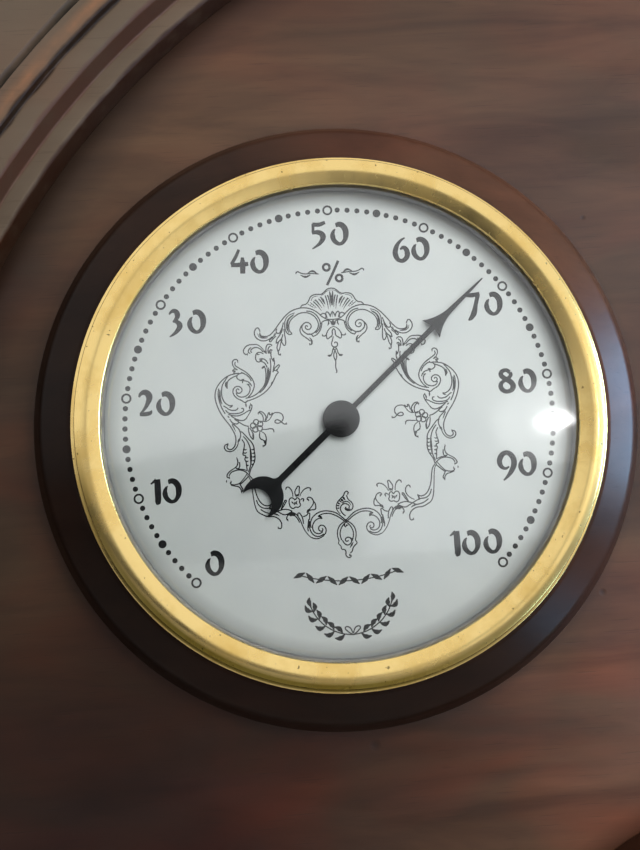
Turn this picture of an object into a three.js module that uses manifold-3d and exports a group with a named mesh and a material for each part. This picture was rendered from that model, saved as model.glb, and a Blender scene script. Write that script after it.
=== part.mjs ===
// A wall-hung weather station: a round wooden case with a stepped rim that carries three
// dial instruments in turned wooden surrounds. The hygrometer sits upper left, the
// thermometer upper right and the barometer at the bottom.
//
// Sizes are in millimetres. Everything is drawn as it is seen from the front, X to the right,
// Y up and Z out of the wall, and the finished drawing is then stood up so that +Z is up
// and the dials look along -Y. The origin is the middle of the back, on the wall.

import * as THREE from 'three';
import { mergeVertices } from 'three/addons/utils/BufferGeometryUtils.js';
import Module from 'manifold-3d';

const wasm = await Module();
wasm.setup();

// Clearances
const SEAT = 0.1; // between stacked flat faces
const FIT = 0.3; // all round between a piece and the hole it sits in

// Layout of the case
const DIAL_SPACING = 117.4; // centre to centre of any two dials
const BOARD_THICKNESS = 20;
const RIM_MARGIN = 10.2; // from a surround's foot to the rim's inner wall
const RIM_STEPS = [
  { rise: 3.6, tread: 2.8 },
  { rise: 3.4, tread: 3.3 },
  { rise: 1.2, tread: 3.1 },
];
const RIM_ROUND = 0.5; // softened arris on the two lower steps
const RIM_GROOVE_WIDTH = 1.2;
const RIM_GROOVE_DEPTH = 1.1;
const RIM_FLAT = 7.1; // plain band outside the groove
const RIM_EDGE = 4; // radius of the rim's outer edge
const RIM_COVER = 14.5; // how far the rim's lip reaches in over the board
const RIM_FACETS = 48;

// Turned surround
const SURROUND_WIDTH = 11.4; // from the hole to the foot
const SURROUND_HEIGHT = 10;
const SURROUND_FOOT = 1.1; // upright edge under the rounded flank
const SURROUND_TOP_WIDTH = 3; // flat seat round the hole, under the bezel's flange
const DIAL_FACETS = 24;
const SMALL_FACETS = 12; // knobs, caps, bosses and other small turned pieces
const ARBOR_FACETS = 8;

// Bezel, glass, dial and can of one instrument
const BEZEL_OVERLAP = 1.25; // how far the bezel's lip reaches in over the glass
const BEZEL_WALL = 1.7; // body of the bezel round the glass
const BEZEL_FLANGE = 1.3; // flange beyond the bezel's body
const BEZEL_FLANGE_THICKNESS = 0.6;
const BEZEL_SIDE = 0.9; // upright side above the flange
const BEZEL_CROWN = 0.8; // rise of the rounded crown above the side
const BEZEL_CROWN_WIDTH = 0.8;
const BEZEL_LIP = 0.55; // thickness of the lip over the glass
const BEZEL_SKIRT = 0.5; // wall of the skirt that holds the stack together
const CRIMP = 0.9; // how far the skirt is folded in under the can's flange
const CRIMP_THICKNESS = 0.4;
const GLASS_RADIUS = 33;
const GLASS_THICKNESS = 1.2;
const GLASS_RISE = 2;
const SPACER_WIDTH = 1.1;
const SPACER_HEIGHT = 0.9;
const DIAL_THICKNESS = 0.6;
const DIAL_DEPTH = 1.2; // dial face below the surround's top
const CAN_WALL = 0.7;
const CAN_FLANGE = 1; // flange that carries the dial
const CAN_FLANGE_THICKNESS = 0.6;
const CAN_INSET = 2; // can floor in front of the wall
const VENT_COUNT = 6;
const VENT_LENGTH = 8;
const VENT_WIDTH = 2.2;
const VENT_RADIUS = 21; // middle of the vents from the can's axis
const GRIP_HEIGHT = 5; // rubber ring that holds the can in its hole
const GRIP_CROWN = 0.5; // how far the rubber ring bulges at its middle
const GRIP_LEVEL = 9; // bottom of the rubber ring above the wall

// Pointer
const POINTER_THICKNESS = 0.3;
const POINTER_LIFT = 0.6; // under side above the dial
const POINTER_REACH = 27.6; // tip
const SPEAR_BASE = 17.5; // barbs of the spear head
const SPEAR_NECK = 21.4; // where the head narrows to its fine tip
const SPEAR_HALF_WIDTH = 1.6;
const SHAFT_HALF_WIDTH = 0.38;
const TIP_HALF_WIDTH = 0.12;
const MOON_RADIUS = 2.6; // crescent counterweight
const MOON_CENTRE = 14.6; // from the pointer's axis
const MOON_BITE = 2.15; // radius of the bite that makes it a crescent
const MOON_BITE_SHIFT = 1.5;
const CAP_RADIUS = 2.5;
const CAP_THICKNESS = 0.4;

// Sweep of the scales and the readings that the pointers rest at
const SWEEP_START = 225; // degrees from +X, at the low end of the scale
const SWEEP = 270; // degrees, clockwise
const DIALS = [
  { name: 'hygrometer', bearing: 150, low: 0, high: 100, reading: 68 },
  { name: 'thermometer', bearing: 30, low: -20, high: 50, reading: 21 },
  { name: 'barometer', bearing: 270, low: 960, high: 1060, reading: 1013 },
];
const SET_READING = 1019; // where the barometer's set hand was left

// Arbor, bush and sensing coil
const ARBOR_RADIUS = 0.7;
const PIN_RADIUS = 0.5; // thinned end that carries the pointer
const BUSH_RADIUS = 1.9;
const BUSH_FLANGE_RADIUS = 3.4;
const BUSH_LENGTH = 2;
const BUSH_FLANGE = 1.4;
const COIL_TURNS = 3.5;
const COIL_STEPS = 12; // facets in one turn
const COIL_STRIP = 0.35; // strip thickness
const COIL_WIDTH = 6;
const COIL_LEVEL = 14; // back edge of the strip above the wall
const COIL_OUTER = 11; // radius of the outer turn
const COLLET_RADIUS = 1.8;

// Adjuster behind the coil: a slotted boss with an arm and a post
const BOSS_RADIUS = 3;
const BOSS_PROUD = 0.9; // boss end behind the can floor
const BOSS_DISC_RADIUS = 5.5;
const BOSS_DISC_THICKNESS = 1.1;
const BOSS_HUB_RADIUS = 2.4;
const BOSS_HUB_LENGTH = 3;
const ARM_WIDTH = 3;
const POST_RADIUS = 0.9;
const SLOT_WIDTH = 0.9;
const SLOT_DEPTH = 0.7;

// Barometer movement
const PLATE_RADIUS = 27;
const PLATE_THICKNESS = 1.2;
const SCREW_SHANK_RADIUS = 1.6;
const CAPSULE_RADIUS = 15;
const CAPSULE_HEIGHT = 4.2;
const CAPSULE_RIPPLES = 2;
const CAPSULE_RIPPLE_DEPTH = 0.7;
const CAPSULE_STUD_RADIUS = 1.3;
const CAPSULE_STUD = 2.6;
const SPRING_THICKNESS = 1.2;
const SPRING_WIDTH = 14;
const SPRING_BACK = 22; // the leaf's upright from the capsule's axis
const SPRING_TIP = 13.6; // its free end, beyond the capsule's axis
const SPRING_FOOT = 6;
const ROCKER_OFFSET = 20; // rocker shaft from the pointer's axis
const ROCKER_LEVEL = 8; // rocker shaft above the base plate
const ROCKER_RADIUS = 0.9;
const ROCKER_LENGTH = 20;
const ROCKER_ARM = 7.5; // upright arm that pulls the chain
const ROCKER_FINGER = 5; // finger under the leaf spring's tip
const ROCKER_BAR = 1.4;
const EAR_THICKNESS = 1.6;
const EAR_WIDTH = 5;
const CHAIN_RADIUS = 0.3;
const DRUM_RADIUS = 0.9;
const DRUM_LENGTH = 3;
const COCK_WIDTH = 10;
const COCK_THICKNESS = 1;
const COCK_BACK = 17; // the bracket's upright from the pointer's axis
const COCK_FOOT = 5;
const COCK_NOSE = 4; // plates past the pointer's axis
const COCK_LOW = 12; // under side of the lower plate above the base plate
const COCK_GAP = 7.4; // between the two plates
const HAIRSPRING_TURNS = 3;
const HAIRSPRING_OUTER = 7;
const HAIRSPRING_STRIP = 0.25;
const HAIRSPRING_WIDTH = 0.8;
const HAIRSPRING_COLLET = 1.6;

// Set hand on the barometer's glass
const SET_HAND_REACH = 21;
const SET_HAND_TAIL = 8;
const SET_HAND_HALF_WIDTH = 0.6;
const SET_HAND_THICKNESS = 0.3;
const SET_HUB_RADIUS = 1.9;
const KNOB_RADIUS = 3;
const KNOB_HEIGHT = 3.2;
const KNOB_WAIST = 0.8; // how far the grip is drawn in under the head
const KNOB_STEM_RADIUS = 1;

// Keyhole hanger let into the back
const HANGER_DROP = 34; // keyhole below the top of the board
const HANGER_LENGTH = 50;
const HANGER_WIDTH = 24;
const HANGER_THICKNESS = 1.5;
const HANGER_CORNER = 3;
const KEYHOLE_RADIUS = 4.6;
const KEYHOLE_SLOT_RADIUS = 2.4;
const KEYHOLE_DROP = 8; // from the round hole up to the end of the slot
const POCKET_DEPTH = 9;
const POCKET_MARGIN = 1.4; // round the keyhole
const HANGER_SCREW_OFFSET = 19;
const SCREW_HEAD_RADIUS = 3.4;
const SCREW_HEAD_DEPTH = 1.2;
const SCREW_RADIUS = 1.5;
const SCREW_LENGTH = 12;

// Levels above the wall
const SURROUND_TOP = BOARD_THICKNESS + SEAT + SURROUND_HEIGHT;
const DIAL_FACE = SURROUND_TOP - DIAL_DEPTH;
const DIAL_BACK = DIAL_FACE - DIAL_THICKNESS;
const CAN_RIM = DIAL_BACK - SEAT;
const CAN_FLOOR = CAN_INSET + CAN_WALL;
const GLASS_BACK = DIAL_FACE + SEAT + SPACER_HEIGHT + SEAT; // at the glass's edge
const GLASS_EDGE = GLASS_BACK + GLASS_THICKNESS;
const POINTER_BACK = DIAL_FACE + POINTER_LIFT;
const CAP_BACK = POINTER_BACK + POINTER_THICKNESS + SEAT;

// Radii that follow from the fits
const SKIRT_INNER = GLASS_RADIUS + FIT;
const SKIRT_OUTER = SKIRT_INNER + BEZEL_SKIRT;
const HOLE_RADIUS = SKIRT_OUTER + FIT;
const LENS_OPENING = GLASS_RADIUS - BEZEL_OVERLAP;
const BEZEL_RADIUS = SKIRT_INNER + BEZEL_WALL;
const SURROUND_RADIUS = HOLE_RADIUS + SURROUND_WIDTH;
const CAN_RADIUS = GLASS_RADIUS - CAN_FLANGE;
const BORE_RADIUS = ARBOR_RADIUS + FIT;
const DIAL_ORBIT = DIAL_SPACING / Math.sqrt(3);
const RIM_INNER = DIAL_ORBIT + SURROUND_RADIUS + RIM_MARGIN;
const BOARD_RADIUS = RIM_INNER + RIM_COVER;
const HANGER_LEVEL = BOARD_RADIUS - HANGER_DROP; // keyhole above the middle of the case

const MATERIALS = {
  board: new THREE.MeshStandardMaterial({ color: 0x6b4331, roughness: 0.45, metalness: 0 }),
  rim: new THREE.MeshStandardMaterial({ color: 0x5b3a2c, roughness: 0.4, metalness: 0 }),
  surround: new THREE.MeshStandardMaterial({ color: 0x3a211a, roughness: 0.32, metalness: 0 }),
  brass: new THREE.MeshStandardMaterial({ color: 0xd9b45a, roughness: 0.25, metalness: 1 }),
  glass: new THREE.MeshStandardMaterial({
    color: 0xf2f6f7, roughness: 0.03, metalness: 0, transparent: true, opacity: 0.25,
  }),
  dial: new THREE.MeshStandardMaterial({ color: 0xd3d5d6, roughness: 0.5, metalness: 0.1 }),
  spacer: new THREE.MeshStandardMaterial({ color: 0x55534c, roughness: 0.6, metalness: 0 }),
  black: new THREE.MeshStandardMaterial({ color: 0x0d0f10, roughness: 0.35, metalness: 0.2 }),
  steel: new THREE.MeshStandardMaterial({ color: 0x9a9ea2, roughness: 0.35, metalness: 1 }),
  coil: new THREE.MeshStandardMaterial({ color: 0xb88a4a, roughness: 0.45, metalness: 0.8 }),
  rubber: new THREE.MeshStandardMaterial({ color: 0x1b1b1b, roughness: 0.85, metalness: 0 }),
};

// Solids and their booleans

// Returns the geometry with shared vertices merged and no triangle of zero area.
function weld(geometry) {
  const bare = geometry.clone();
  bare.deleteAttribute('normal');
  bare.deleteAttribute('uv');
  const merged = mergeVertices(bare, 1e-4);
  const kept = [];
  const index = merged.index.array;
  for (let i = 0; i < index.length; i += 3) {
    const [a, b, c] = [index[i], index[i + 1], index[i + 2]];
    if (a !== b && b !== c && c !== a) kept.push(a, b, c);
  }
  merged.setIndex(kept);
  return merged;
}

function asSolid(geometry) {
  const welded = weld(geometry);
  return new wasm.Manifold(new wasm.Mesh({
    numProp: 3,
    vertProperties: new Float32Array(welded.attributes.position.array),
    triVerts: new Uint32Array(welded.index.array),
  }));
}

function asGeometry(solid) {
  const mesh = solid.getMesh();
  const geometry = new THREE.BufferGeometry();
  geometry.setAttribute('position', new THREE.BufferAttribute(mesh.vertProperties, 3));
  geometry.setIndex(new THREE.BufferAttribute(mesh.triVerts, 1));
  return geometry;
}

function cut(base, ...tools) {
  return asGeometry(tools.reduce((solid, tool) => solid.subtract(asSolid(tool)), asSolid(base)));
}

function join(base, ...others) {
  return asGeometry(others.reduce((solid, other) => solid.add(asSolid(other)), asSolid(base)));
}

// Forms

// A closed profile of [radius, level] points turned about the Z axis.
function revolve(profile, facets) {
  const points = profile.map(([radius, level]) => new THREE.Vector2(radius, level));
  if (THREE.ShapeUtils.area(points) < 0) points.reverse();
  const onAxis = points.some((point) => point.x === 0);
  if (onAxis) {
    // start on the axis, so that the two open ends of the profile lie on it
    while (!(points[0].x === 0 && points.at(-1).x === 0)) points.push(points.shift());
  } else {
    points.push(points[0].clone());
  }
  return weld(new THREE.LatheGeometry(points, facets).rotateX(Math.PI / 2));
}

// A flat shape raised from one level to another.
function plate(shape, from, to) {
  const options = { depth: to - from, bevelEnabled: false };
  return weld(new THREE.ExtrudeGeometry(shape, options).translate(0, 0, from));
}

function rod(radius, from, to, facets = ARBOR_FACETS) {
  return revolve([[0, from], [radius, from], [radius, to], [0, to]], facets);
}

function tube(inner, outer, from, to, facets) {
  return revolve([[inner, from], [outer, from], [outer, to], [inner, to]], facets);
}

// Points of an elliptical quarter turn from angle a to angle b, both in degrees.
function arc(centreX, centreY, radiusX, radiusY, a, b, steps) {
  return Array.from({ length: steps + 1 }, (_, i) => {
    const t = THREE.MathUtils.degToRad(a + ((b - a) * i) / steps);
    return [centreX + radiusX * Math.cos(t), centreY + radiusY * Math.sin(t)];
  });
}

function outline(points) {
  return new THREE.Shape(points.map(([x, y]) => new THREE.Vector2(x, y)));
}

function circle(x, y, radius, facets) {
  return outline(arc(x, y, radius, radius, 0, 360, facets).slice(1));
}

function rectangle(x0, y0, x1, y1) {
  return outline([[x0, y0], [x1, y0], [x1, y1], [x0, y1]]);
}

function roundedRectangle(width, height, radius) {
  const [x, y] = [width / 2 - radius, height / 2 - radius];
  return outline([
    ...arc(x, y, radius, radius, 0, 90, 2),
    ...arc(-x, y, radius, radius, 90, 180, 2),
    ...arc(-x, -y, radius, radius, 180, 270, 2),
    ...arc(x, -y, radius, radius, 270, 360, 2),
  ]);
}

// A strip wound into a flat spiral.
function spiral(inner, outer, turns, strip, from, to) {
  const steps = Math.round(turns * COIL_STEPS);
  const edge = (offset) => Array.from({ length: steps + 1 }, (_, i) => {
    const angle = (2 * Math.PI * turns * i) / steps;
    const radius = inner + ((outer - inner) * i) / steps + offset;
    return [radius * Math.cos(angle), radius * Math.sin(angle)];
  });
  return plate(outline([...edge(strip / 2), ...edge(-strip / 2).reverse()]), from, to);
}

function mesh(name, geometry, material) {
  const made = new THREE.Mesh(geometry, MATERIALS[material]);
  made.name = name;
  return made;
}

// Case

function dialCentre(bearing) {
  const angle = THREE.MathUtils.degToRad(bearing);
  return [DIAL_ORBIT * Math.cos(angle), DIAL_ORBIT * Math.sin(angle)];
}

// The keyhole: a round hole with a narrower slot above it, grown all round by a margin.
function keyhole(margin) {
  const hole = KEYHOLE_RADIUS + margin;
  const slot = KEYHOLE_SLOT_RADIUS + margin;
  const meeting = THREE.MathUtils.radToDeg(Math.acos(slot / hole));
  return outline([
    ...arc(0, 0, hole, hole, 180 - meeting, 360 + meeting, 10),
    ...arc(0, KEYHOLE_DROP, slot, slot, 0, 180, 6),
  ]);
}

function caseBoard() {
  const disc = circle(0, 0, BOARD_RADIUS, RIM_FACETS);
  for (const { bearing } of DIALS) {
    disc.holes.push(circle(...dialCentre(bearing), HOLE_RADIUS, DIAL_FACETS));
  }
  const board = plate(disc, 0, BOARD_THICKNESS);
  const bed = plate(
    roundedRectangle(HANGER_LENGTH + 2 * FIT, HANGER_WIDTH + 2 * FIT, HANGER_CORNER + FIT),
    -1, HANGER_THICKNESS + SEAT,
  );
  const pocket = plate(keyhole(POCKET_MARGIN), -1, POCKET_DEPTH);
  const pilots = [-1, 1].map((side) => rod(
    SCREW_RADIUS + FIT, 0, HANGER_THICKNESS + SCREW_LENGTH + FIT,
  ).translate(side * HANGER_SCREW_OFFSET, 0, 0));
  const tools = [bed, pocket, ...pilots].map((tool) => tool.translate(0, HANGER_LEVEL, 0));
  return mesh('case_board', cut(board, ...tools), 'board');
}

// The rim is one turned ring: three steps, a groove and a plain band on its face, a rounded
// outer edge, and a rebate at the back that the board is set into.
function rimMoulding() {
  const face = [];
  let radius = RIM_INNER;
  let level = BOARD_THICKNESS + SEAT;
  face.push([radius, level]);
  RIM_STEPS.forEach(({ rise, tread }, i) => {
    const round = i < RIM_STEPS.length - 1 ? RIM_ROUND : 0;
    face.push([radius, level + rise - round]);
    if (round) face.push([radius + round, level + rise]);
    radius += tread;
    level += rise;
    face.push([radius, level]);
  });
  face.push([radius + RIM_GROOVE_WIDTH / 2, level - RIM_GROOVE_DEPTH]);
  radius += RIM_GROOVE_WIDTH + RIM_FLAT;
  face.push([radius - RIM_FLAT, level]);
  face.push(...arc(radius, level - RIM_EDGE, RIM_EDGE, RIM_EDGE, 90, 0, 3));
  const outer = radius + RIM_EDGE;
  const rebate = BOARD_RADIUS + FIT;
  const profile = [...face, [outer, 0], [rebate, 0], [rebate, BOARD_THICKNESS + SEAT]];
  return mesh('rim_moulding', revolve(profile, RIM_FACETS), 'rim');
}

function hanger() {
  const shape = roundedRectangle(HANGER_LENGTH, HANGER_WIDTH, HANGER_CORNER);
  shape.holes.push(keyhole(0));
  const sinks = [-1, 1].map((side) => revolve([
    [0, -1],
    [SCREW_HEAD_RADIUS + FIT, -1],
    [SCREW_HEAD_RADIUS + FIT, SEAT],
    [SCREW_RADIUS + FIT, SEAT + SCREW_HEAD_DEPTH],
    [SCREW_RADIUS + FIT, HANGER_THICKNESS + 1],
    [0, HANGER_THICKNESS + 1],
  ], SMALL_FACETS).translate(side * HANGER_SCREW_OFFSET, 0, 0));
  const strip = cut(plate(shape, 0, HANGER_THICKNESS), ...sinks);
  const group = new THREE.Group();
  group.position.set(0, HANGER_LEVEL, 0);
  group.add(mesh('hanger_plate', strip, 'steel'));
  for (const [side, word] of [[-1, 'left'], [1, 'right']]) {
    const screw = revolve([
      [0, SEAT],
      [SCREW_HEAD_RADIUS, SEAT],
      [SCREW_RADIUS, SEAT + SCREW_HEAD_DEPTH],
      [SCREW_RADIUS, SCREW_LENGTH],
      [0, SCREW_LENGTH + SCREW_RADIUS],
    ], SMALL_FACETS);
    const slot = plate(
      rectangle(-SCREW_HEAD_RADIUS, -SLOT_WIDTH / 2, SCREW_HEAD_RADIUS, SLOT_WIDTH / 2),
      0, SEAT + SLOT_DEPTH,
    );
    const made = mesh(`hanger_screw_${word}`, cut(screw, slot), 'steel');
    made.position.set(side * HANGER_SCREW_OFFSET, 0, 0);
    group.add(made);
  }
  return group;
}

// Parts that every instrument has

function surround(name) {
  const foot = BOARD_THICKNESS + SEAT;
  const shoulder = foot + SURROUND_FOOT;
  const crown = HOLE_RADIUS + SURROUND_TOP_WIDTH;
  const flank = arc(
    crown, shoulder, SURROUND_RADIUS - crown, SURROUND_TOP - shoulder, 0, 90, 4,
  );
  const profile = [[HOLE_RADIUS, foot], [SURROUND_RADIUS, foot], ...flank, [HOLE_RADIUS, SURROUND_TOP]];
  return mesh(`${name}_surround`, revolve(profile, DIAL_FACETS), 'surround');
}

function bezel(name) {
  const flangeBack = SURROUND_TOP + SEAT;
  const flangeFace = flangeBack + BEZEL_FLANGE_THICKNESS;
  const side = flangeFace + BEZEL_SIDE;
  const crown = side + BEZEL_CROWN;
  const lipBack = glassFace(LENS_OPENING) + SEAT;
  const foldFace = CAN_RIM - CAN_FLANGE_THICKNESS - FIT;
  const foldInner = SKIRT_INNER - CRIMP;
  const crownOuter = BEZEL_RADIUS - BEZEL_CROWN;
  const profile = [
    [foldInner, foldFace - CRIMP_THICKNESS],
    [SKIRT_OUTER, foldFace - CRIMP_THICKNESS],
    [SKIRT_OUTER, flangeBack],
    [BEZEL_RADIUS + BEZEL_FLANGE, flangeBack],
    [BEZEL_RADIUS + BEZEL_FLANGE, flangeFace],
    [BEZEL_RADIUS, flangeFace],
    [BEZEL_RADIUS, side],
    [crownOuter, crown],
    [crownOuter - BEZEL_CROWN_WIDTH, crown],
    [LENS_OPENING, lipBack + BEZEL_LIP],
    [LENS_OPENING, lipBack],
    [SKIRT_INNER, lipBack],
    [SKIRT_INNER, foldFace],
    [foldInner, foldFace],
  ];
  return mesh(`${name}_bezel`, revolve(profile, DIAL_FACETS), 'brass');
}

// Front face of the domed glass at a distance from its axis.
function glassFace(radius) {
  return GLASS_EDGE + GLASS_RISE * (1 - (radius / GLASS_RADIUS) ** 2);
}

function glass(name, bore) {
  const radii = [1, 0.6, bore / GLASS_RADIUS].map((share) => share * GLASS_RADIUS);
  const front = radii.map((radius) => [radius, glassFace(radius)]);
  const back = front.map(([radius, level]) => [radius, level - GLASS_THICKNESS]).reverse();
  return mesh(`${name}_glass`, revolve([...back, ...front], DIAL_FACETS), 'glass');
}

function spacer(name) {
  const ring = tube(
    GLASS_RADIUS - SPACER_WIDTH, GLASS_RADIUS,
    DIAL_FACE + SEAT, DIAL_FACE + SEAT + SPACER_HEIGHT, DIAL_FACETS,
  );
  return mesh(`${name}_spacer_ring`, ring, 'spacer');
}

function dialPlate(name) {
  const disc = circle(0, 0, GLASS_RADIUS, DIAL_FACETS);
  disc.holes.push(circle(0, 0, BUSH_RADIUS + FIT, SMALL_FACETS));
  return mesh(`${name}_dial`, plate(disc, DIAL_BACK, DIAL_FACE), 'dial');
}

function bush(name) {
  const face = DIAL_BACK - SEAT;
  const front = DIAL_FACE - SEAT;
  const profile = [
    [BORE_RADIUS, front - BUSH_LENGTH],
    [BUSH_FLANGE_RADIUS, face - BUSH_FLANGE],
    [BUSH_FLANGE_RADIUS, face],
    [BUSH_RADIUS, face],
    [BUSH_RADIUS, front],
    [BORE_RADIUS, front],
  ];
  return mesh(`${name}_dial_bush`, revolve(profile, SMALL_FACETS), 'brass');
}

// A drawn cup with a flange for the dial, a ring of vents and a hole in the middle of its floor.
function can(name) {
  const wall = CAN_RADIUS - CAN_WALL;
  const cup = revolve([
    [BOSS_RADIUS + FIT, CAN_INSET],
    [CAN_RADIUS, CAN_INSET],
    [CAN_RADIUS, CAN_RIM - CAN_FLANGE_THICKNESS],
    [GLASS_RADIUS, CAN_RIM - CAN_FLANGE_THICKNESS],
    [GLASS_RADIUS, CAN_RIM],
    [wall, CAN_RIM],
    [wall, CAN_FLOOR],
    [BOSS_RADIUS + FIT, CAN_FLOOR],
  ], DIAL_FACETS);
  const vents = Array.from({ length: VENT_COUNT }, (_, i) => plate(
    roundedRectangle(VENT_LENGTH, VENT_WIDTH, VENT_WIDTH / 2 - SEAT),
    0, CAN_FLOOR + 1,
  ).translate(VENT_RADIUS, 0, 0).rotateZ((2 * Math.PI * (i + 0.5)) / VENT_COUNT));
  return mesh(`${name}_can`, cut(cup, ...vents), 'steel');
}

function gripRing(name) {
  const inner = CAN_RADIUS + FIT;
  const outer = HOLE_RADIUS - FIT;
  const profile = [
    [inner, GRIP_LEVEL],
    [outer - GRIP_CROWN, GRIP_LEVEL],
    [outer, GRIP_LEVEL + GRIP_HEIGHT / 2],
    [outer - GRIP_CROWN, GRIP_LEVEL + GRIP_HEIGHT],
    [inner, GRIP_LEVEL + GRIP_HEIGHT],
  ];
  return mesh(`${name}_grip_ring`, revolve(profile, DIAL_FACETS), 'rubber');
}

// Where a reading lies on the scale, in radians from +X.
function scaleAngle({ low, high }, reading) {
  return THREE.MathUtils.degToRad(SWEEP_START - (SWEEP * (reading - low)) / (high - low));
}

// A spear at the front, drawn in to a fine tip, and a crescent at the tail, in one blanked piece.
function pointer(spec) {
  const shaft = SHAFT_HALF_WIDTH;
  const side = (sign) => {
    const waist = (SPEAR_BASE + SPEAR_NECK) / 2;
    return [
      [CAP_RADIUS / 2, sign * shaft],
      [SPEAR_BASE, sign * shaft],
      [SPEAR_BASE - shaft, sign * SPEAR_HALF_WIDTH],
      [waist, sign * (SPEAR_HALF_WIDTH * 0.25 + shaft * 0.75)],
      [SPEAR_NECK, sign * shaft],
      [POINTER_REACH, sign * TIP_HALF_WIDTH],
    ];
  };
  const blade = outline([...side(-1), ...side(1).reverse()]);
  const hub = rod(CAP_RADIUS, POINTER_BACK, POINTER_BACK + POINTER_THICKNESS, SMALL_FACETS);
  const back = POINTER_BACK;
  const front = POINTER_BACK + POINTER_THICKNESS;
  const tail = plate(rectangle(-MOON_CENTRE + MOON_RADIUS / 2, -shaft, 0, shaft), back, front);
  const moon = rod(MOON_RADIUS, back, front, SMALL_FACETS).translate(-MOON_CENTRE, 0, 0);
  const bite = rod(MOON_BITE, back - 1, front + 1, SMALL_FACETS)
    .translate(-MOON_CENTRE - MOON_BITE_SHIFT, 0, 0);
  const hole = rod(PIN_RADIUS + FIT, back - 1, front + 1);
  const blank = join(hub, plate(blade, back, front), tail, moon);
  const made = mesh(`${spec.name}_pointer`, cut(blank, bite, hole), 'black');
  made.rotation.z = scaleAngle(spec, spec.reading);
  return made;
}

function pointerCap(name) {
  const dome = revolve([
    [0, CAP_BACK],
    [CAP_RADIUS, CAP_BACK],
    [CAP_RADIUS, CAP_BACK + CAP_THICKNESS * 0.6],
    [CAP_RADIUS * 0.85, CAP_BACK + CAP_THICKNESS],
    [0, CAP_BACK + CAP_THICKNESS],
  ], SMALL_FACETS);
  return mesh(`${name}_pointer_cap`, dome, 'black');
}

// The arbor's upper end is the same in each instrument: a shoulder under the pointer and a thin pin.
function arborHead() {
  return [
    [ARBOR_RADIUS, POINTER_BACK - SEAT],
    [PIN_RADIUS, POINTER_BACK - SEAT],
    [PIN_RADIUS, CAP_BACK - SEAT],
    [0, CAP_BACK - SEAT],
  ];
}

function face(name, bore) {
  return [
    surround(name), bezel(name), glass(name, bore), spacer(name),
    dialPlate(name), bush(name), can(name), gripRing(name),
  ];
}

// Hygrometer and thermometer: a coil turns the arbor, and an adjuster turns the coil

function coilArbor(name) {
  const profile = [
    [0, CAN_FLOOR + BOSS_DISC_THICKNESS + 2 * FIT],
    [ARBOR_RADIUS, CAN_FLOOR + BOSS_DISC_THICKNESS + 2 * FIT],
    [ARBOR_RADIUS, COIL_LEVEL - FIT],
    [COLLET_RADIUS, COIL_LEVEL - FIT],
    [COLLET_RADIUS, COIL_LEVEL + COIL_WIDTH + FIT],
    [ARBOR_RADIUS, COIL_LEVEL + COIL_WIDTH + FIT],
    ...arborHead(),
  ];
  return mesh(`${name}_arbor`, revolve(profile, ARBOR_FACETS), 'steel');
}

function sensingCoil(name) {
  const inner = COLLET_RADIUS + FIT + COIL_STRIP / 2;
  const strip = spiral(
    inner, COIL_OUTER, COIL_TURNS, COIL_STRIP, COIL_LEVEL, COIL_LEVEL + COIL_WIDTH,
  );
  return mesh(`${name}_coil`, strip, 'coil');
}

function slotTool(back) {
  return plate(
    rectangle(-BOSS_RADIUS - 1, -SLOT_WIDTH / 2, BOSS_RADIUS + 1, SLOT_WIDTH / 2),
    back - 1, back + SLOT_DEPTH,
  );
}

function coilAdjuster(name) {
  const back = CAN_INSET - BOSS_PROUD;
  const disc = CAN_FLOOR + FIT;
  const hub = disc + BOSS_DISC_THICKNESS;
  const boss = revolve([
    [0, back],
    [BOSS_RADIUS, back],
    [BOSS_RADIUS, disc],
    [BOSS_DISC_RADIUS, disc],
    [BOSS_DISC_RADIUS, hub],
    [BOSS_HUB_RADIUS, hub],
    [BOSS_HUB_RADIUS, hub + BOSS_HUB_LENGTH],
    [BORE_RADIUS, hub + BOSS_HUB_LENGTH],
    [BORE_RADIUS, hub],
    [0, hub],
  ], SMALL_FACETS);
  const reach = COIL_OUTER + COIL_STRIP / 2 + FIT + POST_RADIUS;
  const arm = plate(rectangle(BOSS_HUB_RADIUS, -ARM_WIDTH / 2, reach + ARM_WIDTH / 2, ARM_WIDTH / 2),
    disc, hub);
  const post = rod(POST_RADIUS, disc, COIL_LEVEL + COIL_WIDTH).translate(reach, 0, 0);
  // the arm lies where the coil's outer end comes round to
  const turned = [arm, post].map((piece) => piece.rotateZ(2 * Math.PI * COIL_TURNS));
  return mesh(`${name}_adjuster`, cut(join(boss, ...turned), slotTool(back)), 'brass');
}

function coilInstrument(spec) {
  return [
    ...face(spec.name, 0), coilAdjuster(spec.name), sensingCoil(spec.name), coilArbor(spec.name),
    pointer(spec), pointerCap(spec.name),
  ];
}

// Barometer: a capsule lifts a leaf spring, a rocker follows it and draws a chain off the arbor

const PLATE_BACK = CAN_FLOOR + SEAT;
const PLATE_FACE = PLATE_BACK + PLATE_THICKNESS;
const CAPSULE_BACK = PLATE_FACE + FIT;
const CAPSULE_FACE = CAPSULE_BACK + CAPSULE_HEIGHT;
const ROCKER_AXIS = PLATE_FACE + ROCKER_LEVEL;
const CHAIN_LEVEL = ROCKER_AXIS + ROCKER_ARM;
const CHAIN_SIDE = DRUM_RADIUS + FIT + CHAIN_RADIUS; // the chain leaves the top of the drum
const COCK_LOWER = PLATE_FACE + COCK_LOW;
const COCK_UPPER = COCK_LOWER + COCK_THICKNESS + COCK_GAP;
const HAIRSPRING_LEVEL = COCK_UPPER - FIT - 2 * HAIRSPRING_WIDTH;

// A shape drawn in X and Z, given a width along Y.
function leaf(points, width) {
  return plate(outline(points), -width / 2, width / 2).rotateX(Math.PI / 2);
}

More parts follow.
